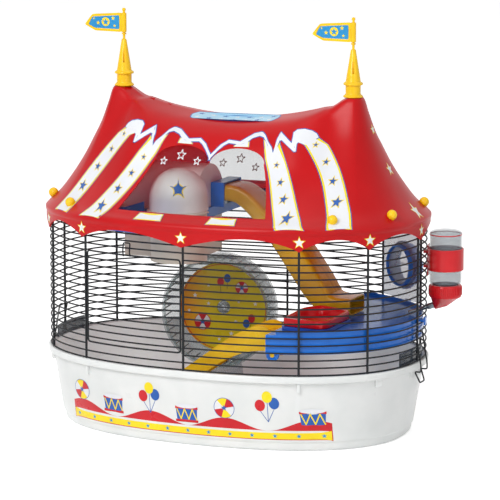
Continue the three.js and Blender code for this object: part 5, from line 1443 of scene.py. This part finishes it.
# ---- deck, bowl and ramp
@dataclass
class RaisedDeck:
    """The raised deck with its skirt, tabs and lugs, the food bowl in its holder, and the ramp."""

    left: float = 103
    top: float = 147.3
    ring: float = 143.5
    sheet: float = 2.5
    skirt: float = 24
    inset: float = 3.6
    wall: float = 2.5
    bowl: tuple[Pair, ...] = ((109, -114), (160, -119), (168, -110), (168, -34), (121, -13), (106, -38))
    pivot: Pair = (110, 122)
    peg: float = 3
    lugs: Pair = (-144, -61)
    ramp_line: tuple[Pair, ...] = ((101, 139.7), (84, 139), (64, 130), (36, 112), (-112, 4.3))
    ramp_sides: tuple[Pair, ...] = ((2.6, -18), (13.5, -19), (16, -12.5), (18, -6), (18, 0))
    ramp_side: Pair = (-118, -72)

    def outline(self, inset: float, steps: int = 90) -> list[Pair]:
        """The deck's plan, an inset inside the wires."""
        inset_all = PLAN.wire_inset + inset
        edge = self.left + inset - self.inset
        limit = math.degrees(math.acos((edge / (PLAN.rim_length - inset_all)) ** (PLAN.power / 2)))
        return [PLAN.rim(a, inset_all) for a in np.linspace(-limit, limit, steps)]

    def tab(self, degrees: float) -> Shape:
        """A hook that hangs the deck on a ring."""
        parts = gathered([block((-8, 4.5), (-5, 5), (self.top - self.sheet, self.top)),
                          block((2.2, 4.5), (-5, 5), (self.ring - 3, self.top + 3))])
        x, y = PLAN.wire(degrees)
        return parts.turned(PLAN.heading(degrees)).moved(x, y)

    def round_bar(self, radius: float, near: float, far: float) -> Shape:
        """A round bar along Y on the ramp's pivot."""
        x, z = self.pivot
        return side_prism([(x + u, z + v) for u, v in disc(radius, sides=28)], near, far)

    def build(self, bench: Bench) -> None:
        """Builds the deck, the bowl and the ramp."""
        low = self.top - self.skirt
        deck = made_object("raised_deck", prism(self.outline(self.inset), low, self.top))
        rim = made_object("rim", prism(self.outline(self.inset), self.top - self.sheet, self.top + 4))
        worked(rim, prism(self.outline(self.inset + 2.2), self.top - 5, self.top + 6))
        worked(rim, block((self.left - 5, self.left + 12), (-168, 168), (self.top, self.top + 10)))
        inner = prism(self.outline(self.inset + self.wall), low - 1, self.top - self.sheet)
        worked(deck, inner)
        near, far = self.ramp_side
        worked(deck, block((self.left - 2, self.left + 4), (near - 4, far + 4),
                           (low - 2, self.top - self.sheet)))
        worked(deck, shape_of(rim), Joinery.ADD)
        x, z = self.pivot
        for y in self.lugs:
            worked(deck, block((self.left, x + 8), (y - 2, y + 2), (z, self.top - 1.5)), Joinery.ADD)
            worked(deck, self.round_bar(8, y - 2, y + 2), Joinery.ADD)
        for degrees in (5, 44, 62):
            worked(deck, self.tab(degrees), Joinery.ADD)
        worked(deck, self.round_bar(self.peg + 0.09, self.lugs[0] - 10, self.lugs[1] + 10))
        bench.add(deck, DECK_BLUE, "cage", "blue_plastic", ["deck"], bevel=0.5)
        self.food_bowl(bench)
        self.ramp(bench)

    def plan(self, draw: float) -> list[Pair]:
        """The bowl's outline with eased corners, drawn in towards its middle."""
        middle = np.mean(self.bowl, 0)
        made = []
        for corner in self.bowl:
            away = np.array(corner) - middle
            reach = np.linalg.norm(away)
            made.append(tuple(middle + away * (reach - draw * 1.25) / reach))
        return rounded(made, 9 - draw * 0.4, True, 5)

    def food_bowl(self, bench: Bench) -> None:
        """The red bowl and the blue holder under its lip."""
        lip, rim, foot = self.top + 5.2, self.top + 14.7, self.top + 0.3
        holder = made_object("bowl_seat", prism(self.plan(-2.2), foot, lip - 0.3))
        worked(holder, prism(self.plan(4), foot - 2, lip + 1))
        bench.add(holder, DEEP_BLUE, "cage", "blue_plastic", ["bowl_holder"], bevel=0.5)
        sections = [(4.6, foot), (4.6, lip), (0.6, lip), (0, lip + 0.6), (0, rim - 1.4), (1, rim), (4.6, rim),
                    (5.6, rim - 0.8), (6.8, rim - 4), (7.2, foot + 4.5), (9.5, foot + 2.5)]
        rings = [[(x, y, z) for x, y in self.plan(draw)] for draw, z in sections]
        dish = made_object("food_bowl", skin(rings))
        bench.add(dish, BOWL_RED, "food_bowl", "red_plastic", ["bowl"], sharp=50)

    def ramp(self, bench: Bench) -> None:
        """The ramp: a channel with side walls, ears with pegs and treads."""
        near, far = self.ramp_side
        rows = [(*spot, *side) for spot, side in zip(self.ramp_line, self.ramp_sides)]
        line = rounded(rows, 14, False, 5)
        floor = [(x, z) for x, z, *_ in line] + [(x, z + 2.5) for x, z, *_ in reversed(line)]
        sides = [(x, z + low) for x, z, _, low in line] + [(x, z + high) for x, z, high, _ in reversed(line)]
        ramp = made_object("ramp_channel", side_prism(floor, near, far))
        px, pz = self.pivot
        ear = rounded([(px + x, pz + z) for x, z in ((-22, 16), (-10, 20.3), (-3, 16), (6, 2), (4, -5),
                                                    (-4, -6), (-12, 2))], 3)
        for y in (near, far - 2.4):
            worked(ramp, side_prism(sides, y, y + 2.4), Joinery.ADD)
            worked(ramp, side_prism(ear, y, y + 2.4), Joinery.ADD)
        for first, last in ((self.lugs[0] - 2.5, near + 1), (far - 1, self.lugs[1] + 3.5)):
            worked(ramp, self.round_bar(self.peg, first, last), Joinery.ADD)
        bench.add(ramp, RAMP_YELLOW, "ramp_body", "yellow_plastic", ["ramp"], bevel=0.4)
        (x0, z0), (x1, z1) = self.ramp_line[-2:]
        count = 18
        spots = [tuple(v * MM for v in (lerp(x0, x1, t), (near + far) / 2, lerp(z0, z1, t) + 2.6))
                 for t in (0.06, 0.96)]
        treads = bars_along_line().run("ramp_treads", [(0, 0, 0)], count=count, first=spots[0], last=spots[1],
                                       size=(0.0022, (far - near - 3) * MM, 0.003),
                                       tilt=math.atan2(z0 - z1, x0 - x1) * -1, finish=RAMP_YELLOW.material())
        bench.add(treads, RAMP_YELLOW, "ramp_body", "yellow_plastic", bevel=0.3)


# ---- loft, den and chute
@dataclass
class LoftAndDen:
    """The deck under the roof, the den through it, and the chute down to the raised deck."""

    top: float = 275.02
    left: float = -134
    right: float = -33
    front: float = -52
    back: float = 32
    wall: float = 2
    high: float = 330.02
    apse: Triple = (-54, -58, 37)
    star_faces: Triple = (0.397, -0.918, 0)
    star_z: float = 308
    tub_low: float = 214.02
    door_top: float = 305.02
    chute_y: float = 20
    chute_half: float = 25
    heights: Triple = (10.4, 16, 10.5)
    run: tuple[Pair, Pair] = ((-21, 293.02), (155, 158.5))
    line: tuple[Pair, ...] = ((0, 0), (0.108, 0.009), (0.19, 0.064), (0.273, 0.16), (0.386, 0.313),
                              (0.528, 0.514), (0.658, 0.747), (0.761, 0.93), (0.835, 0.989), (1, 1))

    def plan(self, margin: float, right_margin: float | None = None) -> list[Pair]:
        """The den's plan: a rectangle with a round bay at its front, grown by a margin."""
        ax, ay, half = self.apse[0], self.apse[1], self.apse[2] + margin
        right = min(self.right + (margin if right_margin is None else right_margin), ax + half)
        return [(self.left - margin, self.back + margin), (self.left - margin, self.front - margin),
                (ax - half, self.front - margin), *arc(half, 180, 360, 41, (ax, ay)),
                (ax + half, self.front - margin),
                (right, self.front - margin), (right, self.back + margin)]

    def vault(self, margin: float) -> Shape:
        """The den's vault, drawn in by a margin: a long arch and a round bay with a ball on top."""
        low = self.top - 20
        ax, ay, apse_half = self.apse
        middle, half = (self.back + self.front) / 2, (self.back - self.front) / 2 - margin
        arch = [(half, low), *arc(half, 0, 180, 41, (0, self.high - margin - half)), (-half, low)]
        long = skin([[(x, middle + u, z) for u, z in arch]
                     for x in (self.left + margin, self.right - margin)])
        half = apse_half - margin
        ball = arc(half, 0, 90, 21, (0, self.high - margin - half))
        bay = [(0, low), (half, low), *ball[:-1], (0, self.high - margin)]
        whole = worked(made_object("vault", long), lathe(bay, 80).moved(ax, ay), Joinery.ADD)
        return shape_of(whole)

    def build(self, bench: Bench) -> None:
        """Builds the loft deck, the tub, the dome, the chute and its collar."""
        # The loft deck and the chute's collar take the paler blue, painted light for the shade under the
        # roof.
        bench.add(bench.copied("loft_floor", "loft_deck"), LOFT_BLUE_PAINTED_LIGHT, "cage", "blue_plastic", ["loft_deck"],
                  bevel=0.6)
        flange = self.top + 0.3
        tub = made_object("den_lower", prism(self.plan(3, 0), flange, flange + 2))
        worked(tub, prism(self.plan(-1.3), self.tub_low, flange + 1), Joinery.ADD)
        worked(tub, prism(self.plan(-1.3 - self.wall), self.tub_low + self.wall, flange + 3))
        bench.add(tub, TUB_BEIGE, "cage", "frosted_plastic", ["den_tub"], bevel=0.6)
        foot = flange + 2.3
        dome = made_object("den_upper", self.vault(0))
        worked(dome, self.vault(self.wall))
        worked(dome, block((-240, 240), (-165, 165), (self.top - 40, foot)))
        worked(dome, block((self.right - 8, self.right + 20),
                           (self.chute_y - self.chute_half + 1, self.chute_y + self.chute_half - 1),
                           (foot - 1, self.door_top)))
        bench.add(dome, FROSTED, "cage", "frosted_plastic", ["den_dome"], bevel=0.4)
        film = Film(self.vault(0))
        own = Aim.outside(*self.apse[:2], Vector(self.star_faces))
        film.starred((0, self.star_z), 11, own, PRINT_YELLOW, PRINT_BLUE, 0.1, 1.8)
        film.finish(bench, "den_print", "cage")
        self.chute(bench)

    def chute(self, bench: Bench) -> None:
        """The amber chute, swept along its line, and the blue collar round its top."""
        at = np.linspace(0, len(self.line) - 1, 56)
        runs, drops = spline(self.line, at)
        (x0, z0), (x1, z1) = self.run
        xs, zs = x0 + (x1 - x0) * runs, z0 + (z1 - z0) * drops
        slopes = np.arctan2(np.gradient(zs), np.gradient(xs))
        slopes[0], slopes[-1] = slopes[1], 0

        def rings(margin: float) -> list[list[Triple]]:
            """The chute's sections, drawn in by a margin."""
            made = []
            for x, z, slope, share in zip(xs, zs, slopes, runs):
                swell = lerp(*self.heights[:2], float(smooth(0.3, 0.6, share)))
                high = lerp(swell, self.heights[2], float(smooth(0.68, 0.9, share))) - margin
                wide = self.chute_half - margin
                corners = [(-wide, -high), (wide, -high), (wide, high), (-wide, high)]
                section = rounded(corners, 6 - margin, True, 4)
                made.append([(x - b * math.sin(slope), self.chute_y + a, z + b * math.cos(slope))
                             for a, b in section])
            return made

        tube = made_object("chute_tube", skin([*rings(0), *rings(2)[::-1]], capped=False, looped=True))
        bench.add(tube, CHUTE_AMBER, "cage", "amber_plastic", ["chute"], sharp=40)
        bench.add(bench.copied("chute_surround", "chute_collar"), LOFT_BLUE_PAINTED_LIGHT, "cage", "blue_plastic",
                  ["chute_collar"], bevel=0.5)


# ---- exercise wheel
@dataclass
class Wheel:
    """The clear drum with rungs, its printed disc and hub, and the stand it turns on."""

    radius: float = 72
    wall: float = 2
    width: float = 44
    middle: Triple = (-38, 32, 135.52)
    turn: float = 9
    disc_radius: float = 58
    rungs: int = 45

    def build(self, bench: Bench) -> None:
        """Builds the wheel in its own frame and carries it into place."""
        place = facing(*self.middle, self.turn)
        back, front = -self.width / 2, self.width / 2
        inner, floor = self.radius - self.wall, back + self.wall
        drum = made_object("drum", lathe([
            (4.6, back), (self.radius - 2, back), (self.radius - 0.6, back + 0.6), (self.radius, floor),
            (self.radius, front - 1.2), (self.radius - 0.6, front), (self.radius - 5.6, front),
            (self.radius - 6, front - 0.8), (self.radius - 5.4, front - 1.6), (inner, front - 3),
            (inner, floor + 0.6), (inner - 0.8, floor), (4.6, floor), (4.6, back)], 120))
        bench.add(carried(drum, place), WHEEL_CLEAR, "wheel", "clear_plastic", ["wheel_drum"], sharp=40)
        rungs = ribs_round_axis().run("drum_rungs", [(0, 0, 0)], count=self.rungs, radius=(inner - 0.7) * MM,
                                      size=(1.6 * MM, 1.3 * MM, (self.width - 5.4) * MM), turn=0.05,
                                      finish=RUNG_GREY.material())
        bench.add(carried(rungs, Matrix(place)), RUNG_GREY, "wheel", "clear_plastic", bevel=0.2)
        low = floor + 0.3
        plate = made_object("printed_disc", lathe([
            (8.6, low), (self.disc_radius - 0.3, low), (self.disc_radius, low + 0.3),
            (self.disc_radius, low + 0.8), (self.disc_radius - 0.3, low + 1.1), (8.6, low + 1.1),
            (8.6, low)], 96))
        bench.add(carried(plate, place), DISC_PRINT, "wheel", "printed_plastic", ["wheel_disc"], sharp=40)
        self.pictures(bench, place, low + 1.1)
        hub = made_object("hub", lathe([
            (3.11, back - 2), (6, back - 2), (6, back - 0.3), (4.3, back - 0.3), (4.3, low), (8, low),
            (8.2, low + 0.4), (8.2, low + 2.5), (6.5, low + 4.6), (3.11, low + 4.7), (3.11, back - 2)], 48))
        bench.add(carried(hub, place), CLEAR, "wheel", "clear_plastic", ["wheel_hub"], sharp=40)
        bench.add(bench.copied("stand", "wheel_stand"), STAND_CLEAR, "cage", "clear_plastic", ["wheel_stand"],
                  bevel=0.4)

    def pictures(self, bench: Bench, place: Matrix, face: float) -> None:
        """Balls, balloons, stars and an edge line printed on the disc."""
        film = Film()
        edge = self.disc_radius - 2.2

        def put(ink: Finish, outlines: Sequence[Outline], height: float) -> None:
            """Prints outlines a height off the disc's face."""
            film.sheets.setdefault(ink, []).append(flat_print(outlines, face + height).placed(place))

        put(PRINT_RED, stroke(arc(edge, 0, 360, 73), 0.5), 0.1)
        for x, y, radius in ((-28, -20, 11), (24, 26, 8.5)):
            put(PRINT_RED, [disc(radius, (x, y))], 0.1)
            for i in range(3):
                put(PRINT_WHITE, [[(x, y), *arc(0.92 * radius, 120 * i, 120 * i + 60, 8, (x, y))]], 0.16)
            put(PRINT_BLUE, [star(radius * 0.42, (x, y))], 0.22)
        for x, y, ink in ((-4, 33, PRINT_RED), (5, 38, PRINT_BLUE), (30, -20, PRINT_BLUE),
                          (37, -13, PRINT_RED)):
            put(PRINT_BROWN, stroke([(x * 0.92, y - 14), (x, y - 5)], 0.3), 0.1)
            put(ink, [disc(4.6, (x, y), 24, 1.2)], 0.18)
        for x, y, radius in ((-38, 14, 3.4), (-20, 28, 2.6), (10, -34, 3.4), (-6, -42, 2.4), (42, 6, 3),
                             (-46, -6, 2.4), (20, 8, 2.4), (-20, 4, 2.8), (16, -18, 2.6)):
            put(PRINT_WHITE, [star(radius, (x, y))], 0.12)
        film.finish(bench, "disc_print", "wheel")


# ---- tube port
@dataclass
class TubePort:
    """The clear plate in the wall, its blue ring and the cap that plugs it."""

    centre: Triple = (177.918, 116.609, 195.03)
    outwards: Pair = (0.5766, 0.8170)
    sleeve: float = 26.2
    wall: float = 1.6
    flange: float = 31

    def build(self, bench: Bench) -> None:
        """Builds the port in its own frame and carries it into place."""
        place = facing(*self.centre, math.degrees(math.atan2(*self.outwards[::-1])) + 90)
        bench.add(bench.copied("port_panel", "port_plate"), PORT_CLEAR, "cage", "clear_plastic",
                  ["port_plate"], bevel=0.5)
        out, wide, bore, seat = self.sleeve, self.flange, self.sleeve - self.wall, 1.5
        ring = made_object("port_flange", lathe([
            (bore, -7), (out - 0.3, -7), (out, -6.6), (out, seat), (wide - 0.5, seat), (wide, seat + 0.6),
            (wide, seat + 3.6), (wide - 0.6, seat + 4.5), (out + 1.6, seat + 6.8), (out + 1, seat + 7.6),
            (out + 1, seat + 12), (out + 0.6, seat + 12.5), (bore, seat + 12.5), (bore, -7)], 80))
        # The ring's paler blue is painted light for its shade.
        bench.add(carried(ring, place), PORT_BLUE_PAINTED_LIGHT, "cage", "blue_plastic", ["port_ring"], sharp=40)
        plug = bore - 0.4
        cup = made_object("plug", lathe([
            (0, -4), (plug - 0.6, -4), (plug, -3.4), (plug, 11.6), (plug - 0.4, 12), (plug - 1.5, 12),
            (plug - 1.8, 11.6), (plug - 1.8, -1.4), (plug - 2.4, -2), (0, -2)], 80))
        worked(cup, block((-plug + 1, plug - 1), (-1.2, 1.2), (-3, 9)), Joinery.ADD)
        bench.add(carried(cup, place), PORT_CLEAR, "tube_cap", "clear_plastic", ["port_cap"], sharp=40)


# ---- drinking bottle
@dataclass
class Bottle:
    """The clear bottle, its grooved cap with a spout, the steel tube, and the strap that hangs it."""

    y: float = 50
    radius: float = 20.3
    cap_radius: float = 21
    height: float = 84
    slope: float = 19
    turn: float = 14
    ribs: int = 48

    def __post_init__(self) -> None:
        """Works out where the bottle stands: its tube passes half way between two rings."""
        self.wall_x = PLAN.wall_x(self.y)
        stand_off = self.radius + 4.7
        self.x = self.wall_x + stand_off
        rise = stand_off * math.tan(math.radians(self.slope)) / math.cos(math.radians(self.turn))
        self.low = PLAN.ring_z(6.5) + rise + 5.5
        self.cap_high = self.low + 16
        self.high = self.low + self.height

    def tube_frame(self) -> Matrix:
        """The frame whose Z runs down the drinking tube into the cage."""
        return (Matrix.Translation((self.x, self.y, self.low - 5.5))
                @ Matrix.Rotation(math.radians(180 + self.turn), 4, "Z")
                @ Matrix.Rotation(math.radians(90 + self.slope), 4, "Y"))

    def build(self, bench: Bench) -> None:
        """Builds each piece of the bottle."""
        r, inner = self.radius, self.radius - 1.4
        up, high = self.cap_high, self.high
        mouth = self.low + 7.6
        shell = lathe([(0, high - 1.4), (inner - 4, high - 1.5), (inner - 1.4, high - 2.6), (inner, high - 5),
                       (inner, up + 3), (14.5, up + 0.6), (14.5, mouth), (16, mouth), (16, up + 0.6),
                       (r - 0.6, up + 2.2), (r, up + 3), (r, high - 4), (r - 0.8, high - 1.6),
                       (r - 2.6, high - 0.3), (r - 4, high), (0, high)], 96).moved(self.x, self.y)
        bench.add(made_object("bottle_shell", shell), BOTTLE_CLEAR, "drinker", "clear_plastic", ["bottle"],
                  sharp=40)
        near, far = r + 0.02, r + 0.1
        band = lathe([(near, high - 5.2), (far, high - 5.2), (far, high - 3.9), (near, high - 3.9),
                      (near, high - 5.2)], 96).moved(self.x, self.y)
        bench.add(made_object("bottle_ring_print", band), PRINT_RED, "drinker", "printed_plastic", sharp=40)
        self.cap(bench)
        self.tube(bench)
        self.strap(bench)

    def cap(self, bench: Bench) -> None:
        """The screw cap with grip ribs and its spout, and the seal inside."""
        low, high, r = self.low, self.cap_high, self.cap_radius - 0.7
        cup = made_object("screw_cap", lathe([
            (0, low), (r - 2.4, low), (r - 0.7, low + 0.7), (r, low + 2.4), (r, high - 1), (r - 0.8, high),
            (16.4, high), (16.4, low + 5), (11, low + 5), (11, low + 2), (0, low + 2)],
            96).moved(self.x, self.y))
        nose = lathe([(0, 0), (6.5, 0), (5.9, 14.2), (5.2, 15), (0, 15)], 40).placed(self.tube_frame())
        spout = made_object("spout", hull(nose, prism(disc(r - 2, (self.x, self.y), 64), low + 0.2, low + 1)))
        worked(spout, prism(disc(40, (self.x, self.y)), low + 1, low + 40))
        worked(cup, shape_of(spout), Joinery.ADD)
        bench.add(cup, TRIM_RED, "drinker", "red_plastic", ["bottle_cap"], sharp=40)
        ribs = ribs_round_axis().run("cap_grip", [(0, 0, 0)], count=self.ribs, radius=(r - 0.1) * MM,
                                     size=(1.6 * MM, 1.1 * MM, 10.5 * MM), turn=0.0,
                                     finish=TRIM_RED.material())
        carried(ribs, Matrix.Translation((self.x, self.y, low + 8.8)))
        bench.add(ribs, TRIM_RED, "drinker", "red_plastic", bevel=0.25)
        seat = low + 5.3
        seal = made_object("seal_ring", lathe([
            (11.3, seat), (15.6, seat), (15.9, seat + 0.4), (15.9, seat + 1.6), (15.6, seat + 2),
            (11.3, seat + 2), (11.3, seat)], 64))
        bench.add(carried(seal, Matrix.Translation((self.x, self.y, 0))), RUBBER, "drinker", "seal_rubber",
                  ["cap_seal"], sharp=40)

    def tube(self, bench: Bench) -> None:
        """The steel tube with its step and rolled mouth, and the ball in its tip."""
        tube = made_object("steel_tube", lathe([
            (1.7, 15.5), (3.8, 15.5), (3.8, 21.5), (3.5, 22.9), (2.6, 24), (2.5, 24.7), (2.5, 47.5),
            (2.3, 48.2), (2, 48.5), (1.5, 48.5), (1.5, 47.7), (2, 47.3), (2, 40.5), (1.7, 40.2),
            (1.7, 15.5)], 40))
        bench.add(carried(tube, self.tube_frame()), STEEL, "drinker", "tube_steel", ["drinking_tube"],
                  sharp=40)
        ball, mouth = 1.8, 1.5
        profile = [(0, -ball), *arc(ball, -90, 90, 17)[1:-1], (0, ball)]
        drop = 47.6 - math.sqrt(ball**2 - mouth**2)
        sphere = made_object("steel_ball", lathe(profile, 28).moved(0, 0, drop))
        bench.add(carried(sphere, self.tube_frame()), STEEL, "drinker", "tube_steel", ["tube_ball"], sharp=60)

    def strap(self, bench: Bench) -> None:
        """The band round the bottle and the hooked plate behind it."""
        hooks = [PLAN.ring_z(i) + 1.3 for i in (12, 14)]
        z0, z1, inner = hooks[0] - 2, hooks[1] + 7, self.radius + 0.3
        plate = [block((1.4, 3.2), (-9, 9), (z0 - 8, z1 + 3))]
        plate += [block((-3.5, 2), (-7, 7), (z, z + 3.4)) for z in hooks]
        body = made_object("hanger", plate[0].turned(self.turn).moved(self.wall_x, self.y))
        for hook in plate[1:]:
            worked(body, hook.turned(self.turn).moved(self.wall_x, self.y), Joinery.ADD)
        worked(body, prism(disc(inner + 0.8, (self.x, self.y), 64), z0 - 20, z1 + 20))
        band = lathe([(inner, z0), (inner + 1.6, z0), (inner + 2, z0 + 0.5), (inner + 2, z1 - 0.5),
                      (inner + 1.6, z1), (inner, z1), (inner, z0)], 96).moved(self.x, self.y)
        worked(body, band, Joinery.ADD)
        bench.add(body, TRIM_RED, "drinker", "red_plastic", ["bottle_strap"], bevel=0.3)


# ---- bails and brackets
@dataclass
class Closures:
    """The wire bails that snap under the rim, and the smoked brackets inside the ends."""

    half: float = 11
    radius: float = 0.98
    axis_x: float = 245.4
    axis_z: float = 134.46
    hook: float = 47.86

    def bail(self) -> Shape:
        """A bent bail with its finger loop, closed under the rim."""
        h, k = self.hook, self.half
        side = [(0, k * 0.36, 0), (0, k, 0), (6.8, k, 8 - h), (6.8, k, -h), (-1.2, k, -h)]
        path = [*side, (4.5, k * 0.7, -14 - h), (4.5, -k * 0.7, -14 - h),
                *((x, -y, z) for x, y, z in reversed(side))]
        return wire(rounded(path, 2.4, False, 4), self.radius, 12).moved(self.axis_x, 0, self.axis_z)

    def build(self, bench: Bench) -> None:
        """Builds both bails and both brackets."""
        for side, middle in (("right", 0), ("left", 180)):
            bail = made_object(f"bail_wire_{side}", self.bail().turned(middle))
            bench.add(bail, WIRE_BLACK, f"{side}_bail", "black_wire", [f"bail_{side}"], sharp=60)
            angles = np.linspace(middle - 11, middle + 11, 30)
            outline = [PLAN.rim(a, 7.2) for a in angles] + [PLAN.rim(a, 9.6) for a in reversed(angles)]
            plate = made_object(f"end_bracket_{side}", prism(outline, PLAN.rim_top + 0.3, PLAN.rim_top + 16))
            bench.add(plate, SMOKE, "cage", "smoke_plastic", [f"bracket_{side}"], bevel=0.6)


# ---- studio
class Studio:
    """A plain pale floor, soft light and the camera."""

    azimuth = 23.392
    elevation = 9.747
    target = Vector((17.7, 0, 221.96))
    distance = 4046.5
    focal = 231.5
    sensor = 36
    daylight = 0.45
    backdrop = 1.0
    table_lift = 0.52
    lamps = (("key", (-500, -3000, 2300), 1500, 84), ("fill", (2600, -1900, 1300), 2000, 16),
             ("top", (0, 300, 2600), 1600, 8))

    def build(self) -> None:
        """Sets the whole studio up."""
        self.world()
        self.floor()
        for lamp in self.lamps:
            self.light(*lamp)
        self.camera()
        bpy.context.scene.view_settings.view_transform = "Standard"

    def seen(self, tree: Tree, share: float = 1) -> Socket:
        """A socket that is a share where the eye, a mirror or clear plastic looks, and 0 for light."""
        path = add_node(tree, "ShaderNodeLightPath").outputs
        seen = {0: path["Is Camera Ray"], 1: path["Is Glossy Ray"]}
        either = fed(tree, "ShaderNodeMath", seen, operation="MAXIMUM")
        every = fed(tree, "ShaderNodeMath", {0: either, 1: path["Is Transmission Ray"]}, operation="MAXIMUM")
        return fed(tree, "ShaderNodeMath", {0: every, 1: share}, operation="MULTIPLY")

    def world(self) -> None:
        """Even white light all round, and a white background for what the camera sees."""
        world = bpy.data.worlds.new("studio")
        world.use_nodes = True
        tree = world.node_tree
        tree.nodes.clear()
        soft = fed(tree, "ShaderNodeBackground", {"Color": (1, 1, 1, 1), "Strength": self.daylight})
        white = fed(tree, "ShaderNodeBackground", {"Color": (1, 1, 1, 1), "Strength": self.backdrop})
        mix = fed(tree, "ShaderNodeMixShader", {0: self.seen(tree), 1: soft, 2: white})
        add_node(tree, "ShaderNodeOutputWorld", {"Surface": mix})
        bpy.context.scene.world = world

    def floor(self) -> None:
        """A large white table under the cage."""
        floor = made_object("studio_floor", block((-9000, 9000), (-9000, 9000), (-20, -0.2)))
        material = FLOOR_WHITE.material()
        tree = material.node_tree
        output = next(node for node in tree.nodes if node.type == "OUTPUT_MATERIAL")
        lift = fed(tree, "ShaderNodeEmission",
                   {"Color": (1, 1, 1, 1), "Strength": self.seen(tree, self.table_lift)})
        whole = fed(tree, "ShaderNodeAddShader", {0: output.inputs[0].links[0].from_socket, 1: lift})
        tree.links.new(whole, output.inputs[0])
        floor.data.materials.append(material)

    def light(self, name: str, place: Triple, size: float, power: float) -> None:
        """A square soft light aimed at the cage, its place and size in millimetres and its power in watts."""
        data = bpy.data.lights.new(name, "AREA")
        data.shape, data.size, data.energy = "SQUARE", size * MM, power
        obj = linked(name, data)
        obj.location = Vector(place) * MM
        aim = (self.target - Vector(place)).normalized()
        obj.rotation_euler = aim.to_track_quat("-Z", "Y").to_euler()

    def camera(self) -> None:
        """A long lens turned to the cage's front and right."""
        a, e = math.radians(self.azimuth), math.radians(self.elevation)
        away = Vector((math.sin(a) * math.cos(e), -math.cos(a) * math.cos(e), math.sin(e)))
        data = bpy.data.cameras.new("camera")
        data.lens, data.sensor_width, data.clip_end = self.focal, self.sensor, 100
        obj = linked("camera", data)
        obj.location = (self.target + away * self.distance) * MM
        obj.rotation_euler = (-away).to_track_quat("-Z", "Y").to_euler()
        bpy.context.scene.camera = obj


def main() -> None:
    """Builds each sub-assembly in order, then the studio."""
    logging.basicConfig(level=logging.INFO, format="%(name)s %(message)s")
    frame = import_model()
    bench = Bench(frame["nodes"])
    for assembly in (Basin(), WireWall(), TentRoof(), SpiresAndFlags(), RaisedDeck(), LoftAndDen(), Wheel(),
                     TubePort(), Bottle(), Closures()):
        log.info("building %s", type(assembly).__name__)
        assembly.build(bench)
    Studio().build()


if __name__ == "__main__":
    main()
